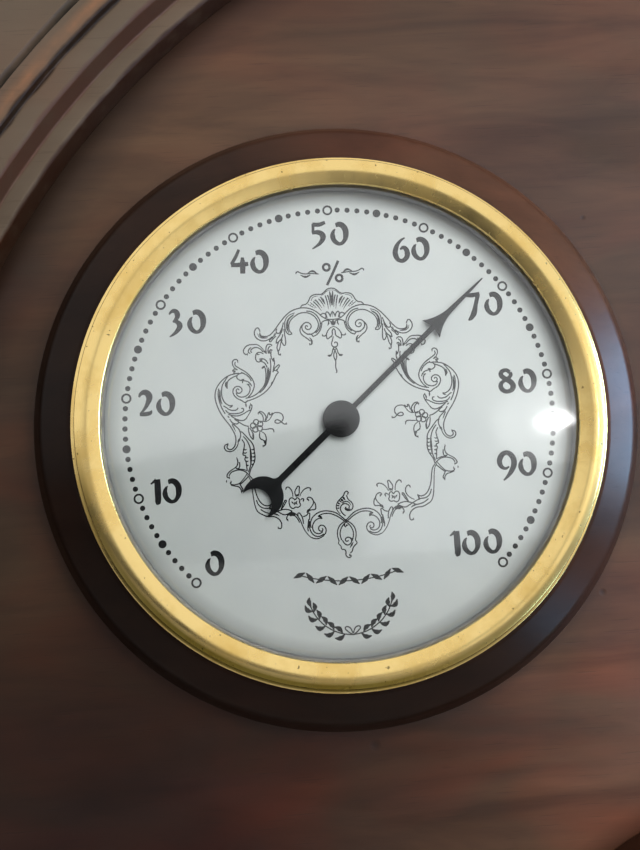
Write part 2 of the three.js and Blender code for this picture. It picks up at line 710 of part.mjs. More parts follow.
// A shape drawn in Y and Z, given a width along X.
function bracket(points, width) {
  return plate(outline(points), -width / 2, width / 2).rotateX(Math.PI / 2).rotateZ(Math.PI / 2);
}

function shaftAlongY(radius, length) {
  return rod(radius, -length / 2, length / 2).rotateX(Math.PI / 2);
}

function basePlate() {
  const disc = circle(0, 0, PLATE_RADIUS, DIAL_FACETS);
  disc.holes.push(circle(0, 0, SCREW_SHANK_RADIUS + FIT, SMALL_FACETS));
  const base = plate(disc, PLATE_BACK, PLATE_FACE);
  const top = ROCKER_AXIS + EAR_WIDTH / 2;
  const ears = [-1, 1].map((side) => {
    const ear = leaf([
      [ROCKER_OFFSET - EAR_WIDTH / 2, PLATE_BACK],
      [ROCKER_OFFSET + EAR_WIDTH / 2, PLATE_BACK],
      [ROCKER_OFFSET + EAR_WIDTH / 2, ROCKER_AXIS],
      [ROCKER_OFFSET, top],
      [ROCKER_OFFSET - EAR_WIDTH / 2, ROCKER_AXIS],
    ], EAR_THICKNESS);
    return ear.translate(0, (side * (ROCKER_LENGTH - EAR_THICKNESS)) / 2, 0);
  });
  const bore = shaftAlongY(ROCKER_RADIUS + FIT, ROCKER_LENGTH + 2)
    .translate(ROCKER_OFFSET, 0, ROCKER_AXIS);
  return mesh('barometer_base_plate', cut(join(base, ...ears), bore), 'brass');
}

// Two corrugated discs sealed at the rim, with a stud on top.
function capsule() {
  const ripple = (level, sign) => {
    const steps = 2 * CAPSULE_RIPPLES;
    return Array.from({ length: steps }, (_, i) => {
      const radius = CAPSULE_STUD_RADIUS * 2
        + ((CAPSULE_RADIUS - CAPSULE_STUD_RADIUS * 3) * i) / (steps - 1);
      return [radius, level - (i % 2 ? sign * CAPSULE_RIPPLE_DEPTH : 0)];
    });
  };
  const middle = (CAPSULE_BACK + CAPSULE_FACE) / 2;
  const profile = [
    [0, CAPSULE_BACK],
    ...ripple(CAPSULE_BACK, -1),
    [CAPSULE_RADIUS, middle - CAPSULE_RIPPLE_DEPTH / 2],
    [CAPSULE_RADIUS, middle + CAPSULE_RIPPLE_DEPTH / 2],
    ...ripple(CAPSULE_FACE, 1).reverse(),
    [CAPSULE_STUD_RADIUS, CAPSULE_FACE],
    [CAPSULE_STUD_RADIUS, CAPSULE_FACE + CAPSULE_STUD],
    [0, CAPSULE_FACE + CAPSULE_STUD],
  ];
  return mesh('barometer_capsule', revolve(profile, 2 * ARBOR_FACETS), 'steel');
}

function mainSpring() {
  const foot = PLATE_FACE + SEAT;
  const under = CAPSULE_FACE + CAPSULE_STUD + FIT;
  const bend = SPRING_THICKNESS;
  const strip = leaf([
    [-SPRING_BACK + SPRING_FOOT, foot],
    [-SPRING_BACK + SPRING_FOOT, foot + SPRING_THICKNESS],
    [-SPRING_BACK + bend, foot + SPRING_THICKNESS],
    [-SPRING_BACK, foot + SPRING_THICKNESS + bend],
    [-SPRING_BACK, under - bend],
    [-SPRING_BACK + bend, under],
    [SPRING_TIP, under],
    [SPRING_TIP, under + SPRING_THICKNESS],
    [-SPRING_BACK, under + SPRING_THICKNESS],
    [-SPRING_BACK - SPRING_THICKNESS, under],
    [-SPRING_BACK - SPRING_THICKNESS, foot + bend],
    [-SPRING_BACK, foot],
  ].reverse(), SPRING_WIDTH);
  return mesh('barometer_main_spring', strip, 'steel');
}

function rocker() {
  const shaft = shaftAlongY(ROCKER_RADIUS, ROCKER_LENGTH);
  const arm = leaf([
    [-ROCKER_BAR / 2, 0],
    [ROCKER_BAR / 2, 0],
    [ROCKER_BAR / 2, ROCKER_ARM + ROCKER_BAR / 2],
    [-ROCKER_BAR / 2, ROCKER_ARM + ROCKER_BAR / 2],
  ], ROCKER_BAR).translate(0, CHAIN_SIDE, 0);
  const finger = leaf([
    [-ROCKER_FINGER, -ROCKER_BAR / 2],
    [0, -ROCKER_BAR / 2],
    [0, ROCKER_BAR / 2],
    [-ROCKER_FINGER, ROCKER_BAR / 2],
  ], SPRING_WIDTH / 2);
  const made = mesh('barometer_rocker', join(shaft, arm, finger), 'brass');
  made.position.set(ROCKER_OFFSET, 0, ROCKER_AXIS);
  return made;
}

function chain() {
  const end = ROCKER_OFFSET - ROCKER_BAR / 2 - FIT;
  const strand = rod(CHAIN_RADIUS, 0, end).rotateY(Math.PI / 2);
  const made = mesh('barometer_chain', strand, 'steel');
  made.position.set(0, CHAIN_SIDE, CHAIN_LEVEL);
  return made;
}

// The bracket that carries the arbor between two plates, its foot on the base plate.
function cock() {
  const foot = PLATE_FACE + SEAT;
  const inside = COCK_BACK - COCK_THICKNESS;
  const top = COCK_UPPER + COCK_THICKNESS;
  const shape = bracket([
    [inside, foot],
    [COCK_BACK + COCK_FOOT, foot],
    [COCK_BACK + COCK_FOOT, foot + COCK_THICKNESS],
    [COCK_BACK, foot + COCK_THICKNESS],
    [COCK_BACK, top],
    [-COCK_NOSE, top],
    [-COCK_NOSE, COCK_UPPER],
    [inside, COCK_UPPER],
    [inside, COCK_LOWER + COCK_THICKNESS],
    [-COCK_NOSE, COCK_LOWER + COCK_THICKNESS],
    [-COCK_NOSE, COCK_LOWER],
    [inside, COCK_LOWER],
  ], COCK_WIDTH);
  const bore = rod(BORE_RADIUS, COCK_LOWER - 1, top + 1);
  return mesh('barometer_cock', cut(shape, bore), 'brass');
}

function hairspring() {
  const inner = HAIRSPRING_COLLET + FIT + HAIRSPRING_STRIP / 2;
  const strip = spiral(
    inner, HAIRSPRING_OUTER, HAIRSPRING_TURNS, HAIRSPRING_STRIP,
    HAIRSPRING_LEVEL, HAIRSPRING_LEVEL + HAIRSPRING_WIDTH,
  );
  return mesh('barometer_hairspring', strip, 'coil');
}

function barometerArbor() {
  const drum = CHAIN_LEVEL - DRUM_LENGTH / 2;
  const profile = [
    [0, COCK_LOWER - FIT],
    [ARBOR_RADIUS, COCK_LOWER - FIT],
    [ARBOR_RADIUS, drum],
    [DRUM_RADIUS, drum],
    [DRUM_RADIUS, drum + DRUM_LENGTH],
    [ARBOR_RADIUS, drum + DRUM_LENGTH],
    [ARBOR_RADIUS, HAIRSPRING_LEVEL - SEAT],
    [HAIRSPRING_COLLET, HAIRSPRING_LEVEL - SEAT],
    [HAIRSPRING_COLLET, HAIRSPRING_LEVEL + HAIRSPRING_WIDTH + SEAT],
    [ARBOR_RADIUS, HAIRSPRING_LEVEL + HAIRSPRING_WIDTH + SEAT],
    ...arborHead(),
  ];
  return mesh('barometer_arbor', revolve(profile, ARBOR_FACETS), 'steel');
}

function adjustingScrew() {
  const back = CAN_INSET - BOSS_PROUD;
  const screw = revolve([
    [0, back],
    [BOSS_RADIUS, back],
    [BOSS_RADIUS, CAN_FLOOR - FIT],
    [SCREW_SHANK_RADIUS, CAN_FLOOR - FIT],
    [SCREW_SHANK_RADIUS, PLATE_FACE],
    [0, PLATE_FACE],
  ], SMALL_FACETS);
  return mesh('barometer_adjusting_screw', cut(screw, slotTool(back)), 'brass');
}

// The set hand hangs under the glass on the stem of a knob that passes through it.
function setHand(spec) {
  const back = CAP_BACK + CAP_THICKNESS + FIT;
  const front = back + SET_HAND_THICKNESS;
  const blade = outline([
    [-SET_HAND_TAIL, -SET_HAND_HALF_WIDTH],
    [0, -SET_HAND_HALF_WIDTH],
    [SET_HAND_REACH, -TIP_HALF_WIDTH],
    [SET_HAND_REACH, TIP_HALF_WIDTH],
    [0, SET_HAND_HALF_WIDTH],
    [-SET_HAND_TAIL, SET_HAND_HALF_WIDTH],
  ]);
  const hub = rod(SET_HUB_RADIUS, back, front, SMALL_FACETS);
  const hand = mesh('barometer_set_hand', join(plate(blade, back, front), hub), 'brass');
  hand.rotation.z = scaleAngle(spec, SET_READING);
  const seat = glassFace(0) + FIT;
  const top = seat + KNOB_HEIGHT;
  const knob = mesh('barometer_set_knob', revolve([
    [0, front + SEAT],
    [KNOB_STEM_RADIUS, front + SEAT],
    [KNOB_STEM_RADIUS, seat],
    [KNOB_RADIUS - KNOB_WAIST, seat],
    [KNOB_RADIUS - KNOB_WAIST, seat + KNOB_HEIGHT * 0.3],
    [KNOB_RADIUS, seat + KNOB_HEIGHT * 0.5],
    [KNOB_RADIUS, seat + KNOB_HEIGHT * 0.8],
    [KNOB_RADIUS - KNOB_WAIST, top],
    [0, top],
  ], SMALL_FACETS), 'brass');
  return [hand, knob];
}

function barometer(spec) {
  return [
    ...face(spec.name, KNOB_STEM_RADIUS + FIT), basePlate(), adjustingScrew(), capsule(),
    mainSpring(), rocker(), chain(), cock(), hairspring(), barometerArbor(),
    pointer(spec), pointerCap(spec.name), ...setHand(spec),
  ];
}

// Assembly

function instrument(spec) {
  const group = new THREE.Group();
  group.position.set(...dialCentre(spec.bearing), 0);
  const pieces = spec.name === 'barometer' ? barometer(spec) : coilInstrument(spec);
  group.add(...pieces);
  return group;
}

const drawing = new THREE.Group();
drawing.add(caseBoard(), rimMoulding(), hanger(), ...DIALS.map(instrument));
drawing.rotation.x = Math.PI / 2;

const weatherStation = new THREE.Group();
weatherStation.add(drawing);

export default weatherStation;
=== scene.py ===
"""Wall weather station with three dials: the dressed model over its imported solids.

Sizes are in millimetres until a mesh is made. A level is a distance out from the wall, and an
angle is in degrees, anticlockwise from the right as the dials are read.
"""

import logging
import math
from collections.abc import Iterator
from contextlib import contextmanager
from dataclasses import dataclass
from enum import Enum

import bpy
from mathutils import Matrix, Vector


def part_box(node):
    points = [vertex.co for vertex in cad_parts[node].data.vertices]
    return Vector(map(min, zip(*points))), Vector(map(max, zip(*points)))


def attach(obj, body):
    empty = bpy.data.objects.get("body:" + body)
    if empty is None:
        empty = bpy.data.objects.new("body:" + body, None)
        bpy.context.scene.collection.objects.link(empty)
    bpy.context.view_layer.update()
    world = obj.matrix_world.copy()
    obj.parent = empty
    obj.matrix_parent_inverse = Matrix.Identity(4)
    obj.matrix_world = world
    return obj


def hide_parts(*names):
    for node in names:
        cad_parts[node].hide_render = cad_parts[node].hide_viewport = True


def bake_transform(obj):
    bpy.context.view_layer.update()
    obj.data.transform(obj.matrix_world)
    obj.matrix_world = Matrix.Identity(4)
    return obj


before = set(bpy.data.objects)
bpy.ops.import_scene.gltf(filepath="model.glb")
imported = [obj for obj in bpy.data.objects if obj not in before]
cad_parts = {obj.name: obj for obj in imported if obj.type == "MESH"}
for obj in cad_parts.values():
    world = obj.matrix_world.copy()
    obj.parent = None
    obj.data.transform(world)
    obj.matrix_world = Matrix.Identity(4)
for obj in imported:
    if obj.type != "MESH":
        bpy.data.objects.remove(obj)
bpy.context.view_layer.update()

MM = 0.001
MERGE = 1e-6
CREASE = 50
WHITE = (1, 1, 1, 1)
LOG = logging.getLogger("weather_station")

Colour = tuple[float, float, float, float]
Pair = tuple[float, float]
Triple = tuple[float, float, float]
Profile = list[Pair]
Corner = Triple
Stroke = list[Triple]
Socket = bpy.types.NodeSocket
Material = bpy.types.Material
Piece = bpy.types.Object


def shade(red: float, green: float, blue: float) -> Colour:
    """Turn a colour as it is seen, 0 to 255, into the linear colour that shaders take.

    Args:
        red: red as seen.
        green: green as seen.
        blue: blue as seen.

    Returns:
        The linear colour with full alpha.
    """
    seen = [value / 255 for value in (red, green, blue)]
    linear = [v / 12.92 if v <= 0.04045 else ((v + 0.055) / 1.055) ** 2.4 for v in seen]
    return (*linear, 1.0)


def rounded(corners: list[Corner], steps: int = 6) -> Profile:
    """Soften the corners of a closed profile.

    Args:
        corners: (radius, level, softening radius) of each corner, in order.
        steps: segments in each softened corner.

    Returns:
        The points of the softened profile.
    """
    profile = []
    for index, (radius, level, soft) in enumerate(corners):
        corner = Vector((radius, level))
        if not soft:
            profile.append((radius, level))
            continue
        before = Vector(corners[index - 1][:2]) - corner
        after = Vector(corners[(index + 1) % len(corners)][:2]) - corner
        half = before.angle(after) / 2
        reach = min(soft / math.tan(half), 0.49 * before.length, 0.49 * after.length)
        start = corner + before.normalized() * reach
        stop = corner + after.normalized() * reach
        inward = (before.normalized() + after.normalized()).normalized()
        middle = corner + inward * (reach / math.cos(half))
        for step in range(steps + 1):
            spoke = (start.lerp(stop, step / steps) - middle).normalized()
            profile.append(tuple(middle + spoke * (reach * math.tan(half))))
    return profile


def arc(x: float, y: float, radius: float, start: float, stop: float, steps: int) -> Profile:
    """Points along a circular arc.

    Args:
        x: middle across.
        y: middle up.
        radius: radius of the arc.
        start: first angle in degrees.
        stop: last angle in degrees.
        steps: segments between them.

    Returns:
        The points, both ends included.
    """
    angles = [math.radians(start + (stop - start) * i / steps) for i in range(steps + 1)]
    return [(x + radius * math.cos(a), y + radius * math.sin(a)) for a in angles]


def bar(length: float, width: float) -> Profile:
    """Outline of a bar about its middle, from half its length and half its width."""
    return [(-length, -width), (length, -width), (length, width), (-length, width)]


class Bench:
    """Blender's operators, used as tools on a bench."""

    @staticmethod
    def clear() -> None:
        """Deselect every object."""
        bpy.ops.object.select_all(action="DESELECT")

    @staticmethod
    def take(piece: Piece) -> None:
        """Make one piece the only selected and active one."""
        Bench.clear()
        piece.select_set(True)
        bpy.context.view_layer.objects.active = piece

    @staticmethod
    def smooth(piece: Piece, angle: float = 35) -> None:
        """Shade a piece smooth where its faces meet at less than the angle."""
        Bench.take(piece)
        bpy.ops.object.shade_smooth_by_angle(angle=math.radians(angle))

    @staticmethod
    def apply(piece: Piece, kind: str, **settings: object) -> None:
        """Put a modifier on a piece and apply it.

        Args:
            piece: the piece.
            kind: the modifier's type.
            **settings: properties to set on it.
        """
        Bench.take(piece)
        modifier = piece.modifiers.new(kind.lower(), kind)
        for key, value in settings.items():
            setattr(modifier, key, value)
        bpy.ops.object.modifier_apply(modifier=modifier.name)

    @staticmethod
    def level(piece: Piece) -> None:
        """Shade a piece smooth and keep its wide flat faces flat."""
        Bench.smooth(piece)
        Bench.apply(piece, "WEIGHTED_NORMAL", keep_sharp=True)

    @staticmethod
    @contextmanager
    def editing() -> Iterator[None]:
        """Hold the active piece in edit mode, at first with all of it selected."""
        bpy.ops.object.mode_set(mode="EDIT")
        bpy.ops.mesh.select_all(action="SELECT")
        yield
        bpy.ops.object.mode_set(mode="OBJECT")

    @staticmethod
    def close_up(piece: Piece) -> None:
        """Merge a piece's doubled points and turn its faces outwards."""
        Bench.take(piece)
        with Bench.editing():
            bpy.ops.mesh.remove_doubles(threshold=MERGE)
            bpy.ops.mesh.normals_make_consistent(inside=False)

    @staticmethod
    def settle(piece: Piece) -> None:
        """Put a piece's place, turn and scale into its mesh."""
        Bench.take(piece)
        bpy.ops.object.transform_apply(location=True, rotation=True, scale=True)

    @staticmethod
    def turn(name: str, profile: Profile, centre: Pair, facets: int = 192) -> Piece:
        """Turn a closed profile about a line that stands out from the wall.

        Args:
            name: name of the piece.
            profile: (radius, level) points in mm.
            centre: the line's place across and up, in mm.
            facets: steps in a full turn.

        Returns:
            The turned piece.
        """
        points = [Vector((centre[0] + r, -level, centre[1])) * MM for r, level in profile]
        Bench.clear()
        bpy.ops.mesh.primitive_plane_add(size=MM)
        piece = bpy.context.object
        piece.name = name
        middle = Vector((centre[0], 0, centre[1])) * MM
        with Bench.editing():
            bpy.ops.mesh.merge(type="CENTER")
            bpy.ops.transform.translate(value=points[0])
            for start, stop in zip(points, points[1:] + points[:1]):
                bpy.ops.mesh.extrude_vertices_move(TRANSFORM_OT_translate={"value": stop - start})
            bpy.ops.mesh.select_all(action="SELECT")
            bpy.ops.mesh.remove_doubles(threshold=MERGE)
            bpy.ops.mesh.spin(steps=facets, angle=2 * math.pi, center=middle, axis=(0, 1, 0))
        Bench.close_up(piece)
        Bench.smooth(piece)
        return piece

    @staticmethod
    def repeat_round(piece: Piece, centre: Pair, times: int, whole: float) -> None:
        """Copy a piece's mesh round a line that stands out from the wall.

        Args:
            piece: the piece.
            centre: the line's place across and up, in mm.
            times: how many copies are made.
            whole: angle in radians from the piece to its last copy.
        """
        Bench.take(piece)
        middle = Vector((centre[0], 0, centre[1])) * MM
        with Bench.editing():
            bpy.ops.mesh.spin(steps=times, angle=whole, dupli=True, center=middle, axis=(0, 1, 0))

    @staticmethod
    def copy(piece: Piece, name: str, shift: Vector) -> Piece:
        """Copy a piece, mesh and all, to another place.

        Args:
            piece: the piece to copy.
            name: name of the copy.
            shift: how far the copy stands from the piece, in metres.

        Returns:
            The copy.
        """
        Bench.take(piece)
        bpy.ops.object.duplicate(linked=False)
        made = bpy.context.object
        made.name = name
        made.location = shift
        Bench.settle(made)
        return made

    @staticmethod
    def join(pieces: list[Piece], name: str) -> Piece:
        """Join pieces into one.

        Args:
            pieces: the pieces, of which the first takes in the rest.
            name: name of the whole.

        Returns:
            The joined piece.
        """
        Bench.take(pieces[0])
        for piece in pieces[1:]:
            piece.select_set(True)
        if len(pieces) > 1:
            bpy.ops.object.join()
        pieces[0].name = name
        return pieces[0]

    @staticmethod
    def cut(piece: Piece, tool: Piece) -> None:
        """Cut a tool's shape out of a piece and throw the tool away."""
        Bench.apply(piece, "BOOLEAN", operation="DIFFERENCE", solver="EXACT", object=tool)
        bpy.data.objects.remove(tool)

    @staticmethod
    def curve(name: str, **settings: object) -> Piece:
        """Add an empty curve.

        Args:
            name: name of the curve.
            **settings: properties to set on its data.

        Returns:
            The curve, with no line in it yet.
        """
        Bench.clear()
        bpy.ops.curve.primitive_bezier_curve_add()
        piece = bpy.context.object
        piece.name = name
        piece.data.splines.clear()
        for key, value in settings.items():
            setattr(piece.data, key, value)
        return piece

    @staticmethod
    def stand_up(piece: Piece, x: float, level: float, z: float, angle: float = 0) -> None:
        """Make a flat drawing in mm a mesh, and stand it against the wall.

        Args:
            piece: the drawing, with x across, y up and z out from the wall.
            x: its place across.
            level: its place out from the wall.
            z: its place up.
            angle: how far it is turned on the wall.
        """
        Bench.take(piece)
        bpy.ops.object.convert(target="MESH")
        turned = Matrix.Rotation(-math.radians(angle), 4, "Y")
        placed = Matrix.Translation(Vector((x, -level, z)) * MM)
        piece.matrix_world = placed @ turned @ Matrix.Rotation(math.pi / 2, 4, "X") @ Matrix.Scale(MM, 4)
        Bench.settle(piece)
        Bench.close_up(piece)

    @staticmethod
    def sheet(name: str, outline: Profile, thickness: float, edge: float) -> Piece:
        """Cut a flat shape with softened edges from sheet.

        Args:
            name: name of the piece.
            outline: the shape's outline in mm.
            thickness: thickness of the sheet.
            edge: how far the edges are softened.

        Returns:
            The flat shape, still a drawing in mm with its back at 0.
        """
        piece = Bench.curve(name, dimensions="2D", fill_mode="BOTH", extrude=thickness / 2 - edge,
                            bevel_depth=edge, bevel_resolution=2, offset=-edge)
        line = piece.data.splines.new("POLY")
        line.points.add(len(outline) - 1)
        for point, (x, y) in zip(line.points, outline):
            point.co = (x, y, 0, 1)
        line.use_cyclic_u = True
        return piece

    @staticmethod
    def draw(name: str, strokes: list[Stroke], flatten: float) -> Piece:
        """Draw pen strokes of changing width as one flat mesh.

        Args:
            name: name of the drawing.
            strokes: (x, y, half width) points of each stroke, in mm.
            flatten: height of the ink as a share of the strokes' half width.

        Returns:
            The drawing, still in mm, lying on its plane.
        """
        piece = Bench.curve(name, dimensions="3D", bevel_depth=1, bevel_resolution=1, resolution_u=6,
                            use_fill_caps=True)
        for stroke in strokes:
            line = piece.data.splines.new("BEZIER")
            line.bezier_points.add(len(stroke) - 1)
            for point, (x, y, half) in zip(line.bezier_points, stroke):
                point.co = (x, y, 0)
                point.radius = half
                point.handle_left_type = "AUTO"
                point.handle_right_type = "AUTO"
        Bench.take(piece)
        bpy.ops.object.convert(target="MESH")
        piece.scale = (1, 1, flatten)
        Bench.settle(piece)
        return piece


class Graph:
    """The nodes of a material or of the world, put together one at a time."""

    def __init__(self, name: str, world: bool = False) -> None:
        """Start a material, or a world, with its own shader."""
        self.owner = (bpy.data.worlds if world else bpy.data.materials).new(name)
        self.owner.use_nodes = True
        self.tree = self.owner.node_tree
        self.shader = self.tree.nodes["Background" if world else "Principled BSDF"]

    def add(self, kind: str, **settings: object) -> bpy.types.Node:
        """Add a node.

        Args:
            kind: the node's type.
            **settings: properties to set on it.

        Returns:
            The node.
        """
        node = self.tree.nodes.new(kind)
        for key, value in settings.items():
            setattr(node, key, value)
        return node

    def feed(self, target: Socket, source: object) -> None:
        """Link a socket to another's output, or set it to a constant."""
        if isinstance(source, Socket):
            self.tree.links.new(source, target)
        else:
            target.default_value = source

    def set(self, **values: object) -> None:
        """Feed the shader's sockets, named with underscores for spaces."""
        names = {socket.name.lower().replace(" ", "_"): socket for socket in self.shader.inputs}
        for key, value in values.items():
            self.feed(names[key], value)

    def place(self, stretch: Triple = (1, 1, 1)) -> Socket:
        """Object coordinates in mm, divided along each axis.

        Args:
            stretch: how long the pattern is drawn out along x, y and z.

        Returns:
            The coordinates.
        """
        mapping = self.add("ShaderNodeMapping")
        mapping.inputs["Scale"].default_value = [1 / (MM * size) for size in stretch]
        self.feed(mapping.inputs["Vector"], self.add("ShaderNodeTexCoord").outputs["Object"])
        return mapping.outputs["Vector"]

    def noise(self, stretch: Triple, detail: float = 3,
              rough: float = 0.5, twist: float = 0) -> Socket:
        """Cloudy variation.

        Args:
            stretch: size of the clouds along each axis, in mm.
            detail: how many finer clouds lie in them.
            rough: how strong the finer clouds are.
            twist: how far the clouds are drawn out of shape.

        Returns:
            A value about 0.5.
        """
        node = self.add("ShaderNodeTexNoise")
        self.feed(node.inputs["Vector"], self.place(stretch))
        node.inputs["Scale"].default_value = 1
        node.inputs["Detail"].default_value = detail
        node.inputs["Roughness"].default_value = rough
        node.inputs["Distortion"].default_value = twist
        return node.outputs["Fac"]

    def math(self, operation: str, *values: object) -> Socket:
        """Do sums on values.

        Args:
            operation: name of the sum.
            *values: numbers or sockets.

        Returns:
            The result.
        """
        node = self.add("ShaderNodeMath", operation=operation)
        for socket, value in zip(node.inputs, values):
            self.feed(socket, value)
        return node.outputs["Value"]

    def spread(self, value: Socket, low: float, high: float,
               to_low: float = 0, to_high: float = 1) -> Socket:
        """Stretch a range of values over another, without overshoot.

        Args:
            value: the value.
            low: start of the range.
            high: end of the range.
            to_low: what the start becomes.
            to_high: what the end becomes.

        Returns:
            The stretched value.
        """
        node = self.add("ShaderNodeMapRange")
        for name, source in (("Value", value), ("From Min", low), ("From Max", high),
                             ("To Min", to_low), ("To Max", to_high)):
            self.feed(node.inputs[name], source)
        return node.outputs["Result"]

    def lean(self, across: float, upward: float, outward: float = 0) -> Socket:
        """Place along a slanting line.

        Args:
            across: how far right the line runs.
            upward: how far up the line runs.
            outward: how far out from the wall the line runs.

        Returns:
            The place in mm.
        """
        node = self.add("ShaderNodeVectorMath", operation="DOT_PRODUCT")
        self.feed(node.inputs[0], self.place())
        self.feed(node.inputs[1], (across, -outward, upward))
        return node.outputs["Value"]

    def dial_lean(self, across: float, upward: float) -> Socket:
        """How far a place lies along a way from the middle of its own dial.

        Args:
            across: the way's part to the right.
            upward: the way's part upward.

        Returns:
            The distance in millimetres.
        """
        place = self.lean(across, upward)
        for instrument in Instrument:
            x, z = instrument.centre()
            inside = self.math("LESS_THAN", self.radius((x, z)), 50.0)
            offset = self.math("MULTIPLY", inside, across * x + upward * z)
            place = self.math("SUBTRACT", place, offset)
        return place

    def radius(self, *centres: Pair) -> Socket:
        """Distance, seen from the front, from the nearest of some centres.

        Args:
            *centres: places across and up, in mm.

        Returns:
            The distance in mm.
        """
        flat = self.add("ShaderNodeVectorMath", operation="MULTIPLY")
        self.feed(flat.inputs[0], self.place())
        self.feed(flat.inputs[1], (1, 0, 1))
        nearest = None
        for x, z in centres:
            away = self.add("ShaderNodeVectorMath", operation="DISTANCE")
            self.feed(away.inputs[0], flat.outputs["Vector"])
            self.feed(away.inputs[1], (x, 0, z))
            found = away.outputs["Value"]
            nearest = found if nearest is None else self.math("MINIMUM", nearest, found)
        return nearest

    def mix(self, factor: object, first: object, second: object,
            blend: str = "MIX") -> Socket:
        """Mix two colours.

        Args:
            factor: share of the second colour.
            first: the first colour.
            second: the second colour.
            blend: how they are mixed.

        Returns:
            The mixed colour.
        """
        node = self.add("ShaderNodeMix", data_type="RGBA", blend_type=blend)
        self.feed(node.inputs["Factor"], factor)
        colours = [socket for socket in node.inputs if socket.type == "RGBA"]
        self.feed(colours[0], first)
        self.feed(colours[1], second)
        return [socket for socket in node.outputs if socket.type == "RGBA"][0]

    def choose(self, share: object, first: object, second: object) -> Socket:
        """Mix two values.

        Args:
            share: share of the second value.
            first: the first value.
            second: the second value.

        Returns:
            The mixed value.
        """
        node = self.add("ShaderNodeMix")
        for name, source in (("Factor", share), ("A", first), ("B", second)):
            self.feed(node.inputs[name], source)
        return node.outputs["Result"]

    def cover(self, share: object, colour: object, blend: str = "MIX") -> None:
        """Lay a share of another colour over the shader's colour."""
        base = self.shader.inputs["Base Color"].links[0].from_socket
        self.set(base_color=self.mix(share, base, colour, blend))

    def stain(self, tone: Socket) -> None:
        """Tint the shader's colour by a tone."""
        self.cover(1.0, tone, "MULTIPLY")

    def grey(self, value: Socket) -> Socket:
        """A grey of a value's brightness."""
        node = self.add("ShaderNodeCombineColor")
        for socket in node.inputs:
            self.feed(socket, value)
        return node.outputs["Color"]

    def bump(self, height: Socket, depth: float, strength: float = 1) -> None:
        """Raise the surface by a value.

        Args:
            height: the value.
            depth: height in mm where the value is 1.
            strength: how much of it shows.
        """
        node = self.add("ShaderNodeBump")
        node.inputs["Distance"].default_value = depth * MM
        node.inputs["Strength"].default_value = strength
        self.feed(node.inputs["Height"], height)
        if self.shader.inputs["Normal"].is_linked:
            earlier = self.shader.inputs["Normal"].links[0].from_socket
            self.feed(node.inputs["Normal"], earlier)
        self.feed(self.shader.inputs["Normal"], node.outputs["Normal"])


@dataclass(frozen=True)
class Wood:
    """Stained and lacquered wood with its grain across, with shade painted in darker down to the left."""

    name: str
    dark: Colour
    middle: Colour
    light: Colour
    red: Colour
    roughness: float
    gloss: float
    coat: float
    coat_roughness: float
    # Painted shade: how dark it gets, and where it starts and stops along the slant to the lower left.
    deep: float = 0.5
    deep_end: float = -95
    pale_end: float = -25

    def graph(self) -> Graph:
        """Build the nodes that every wood of the case shares.

        Returns:
            The nodes, with the colour linked to the shader.
        """
        graph = Graph(self.name)
        figure = graph.noise((70, 12, 9), 4, 0.55, 0.6)
        grain = graph.noise((26, 1.6, 0.75), 5, 0.62, 0.3)
        blotch = graph.noise((34, 30, 19), 3, 0.5, 0.4)
        pores = graph.noise((7, 0.5, 0.28), 1)
        graph.set(base_color=graph.mix(graph.spread(figure, 0.3, 0.72), self.dark, self.light))
        graph.cover(graph.spread(grain, 0.3, 0.75, 0.25, 0.7), self.middle)
        most = graph.spread(graph.lean(0.3, 1), -30, 75, 0.95, 0.4)
        graph.cover(graph.math("MULTIPLY", graph.spread(blotch, 0.44, 0.7), most), self.red)
        hole = graph.spread(pores, 0.64, 0.72)
        graph.cover(graph.math("MULTIPLY", hole, 0.35), self.dark)
        # Painted shade, darker towards the lower left.
        depth = graph.spread(graph.lean(0.8, 0.6), self.deep_end, self.pale_end, 1 - self.deep, 1)
        graph.stain(graph.grey(depth))
        graph.set(specular_ior_level=self.gloss, coat_weight=self.coat,
                  coat_roughness=self.coat_roughness)
        wear = graph.noise((15, 15, 6), 4, 0.6)
        graph.set(roughness=graph.spread(wear, 0.3, 0.7, self.roughness - 0.08, self.roughness + 0.1))
        graph.bump(grain, 0.035, 0.5)
        graph.bump(graph.math("SUBTRACT", 1.0, hole), 0.02, 0.4)
        return graph

    def make(self) -> Material:
        """Make the material."""
        return self.graph().owner


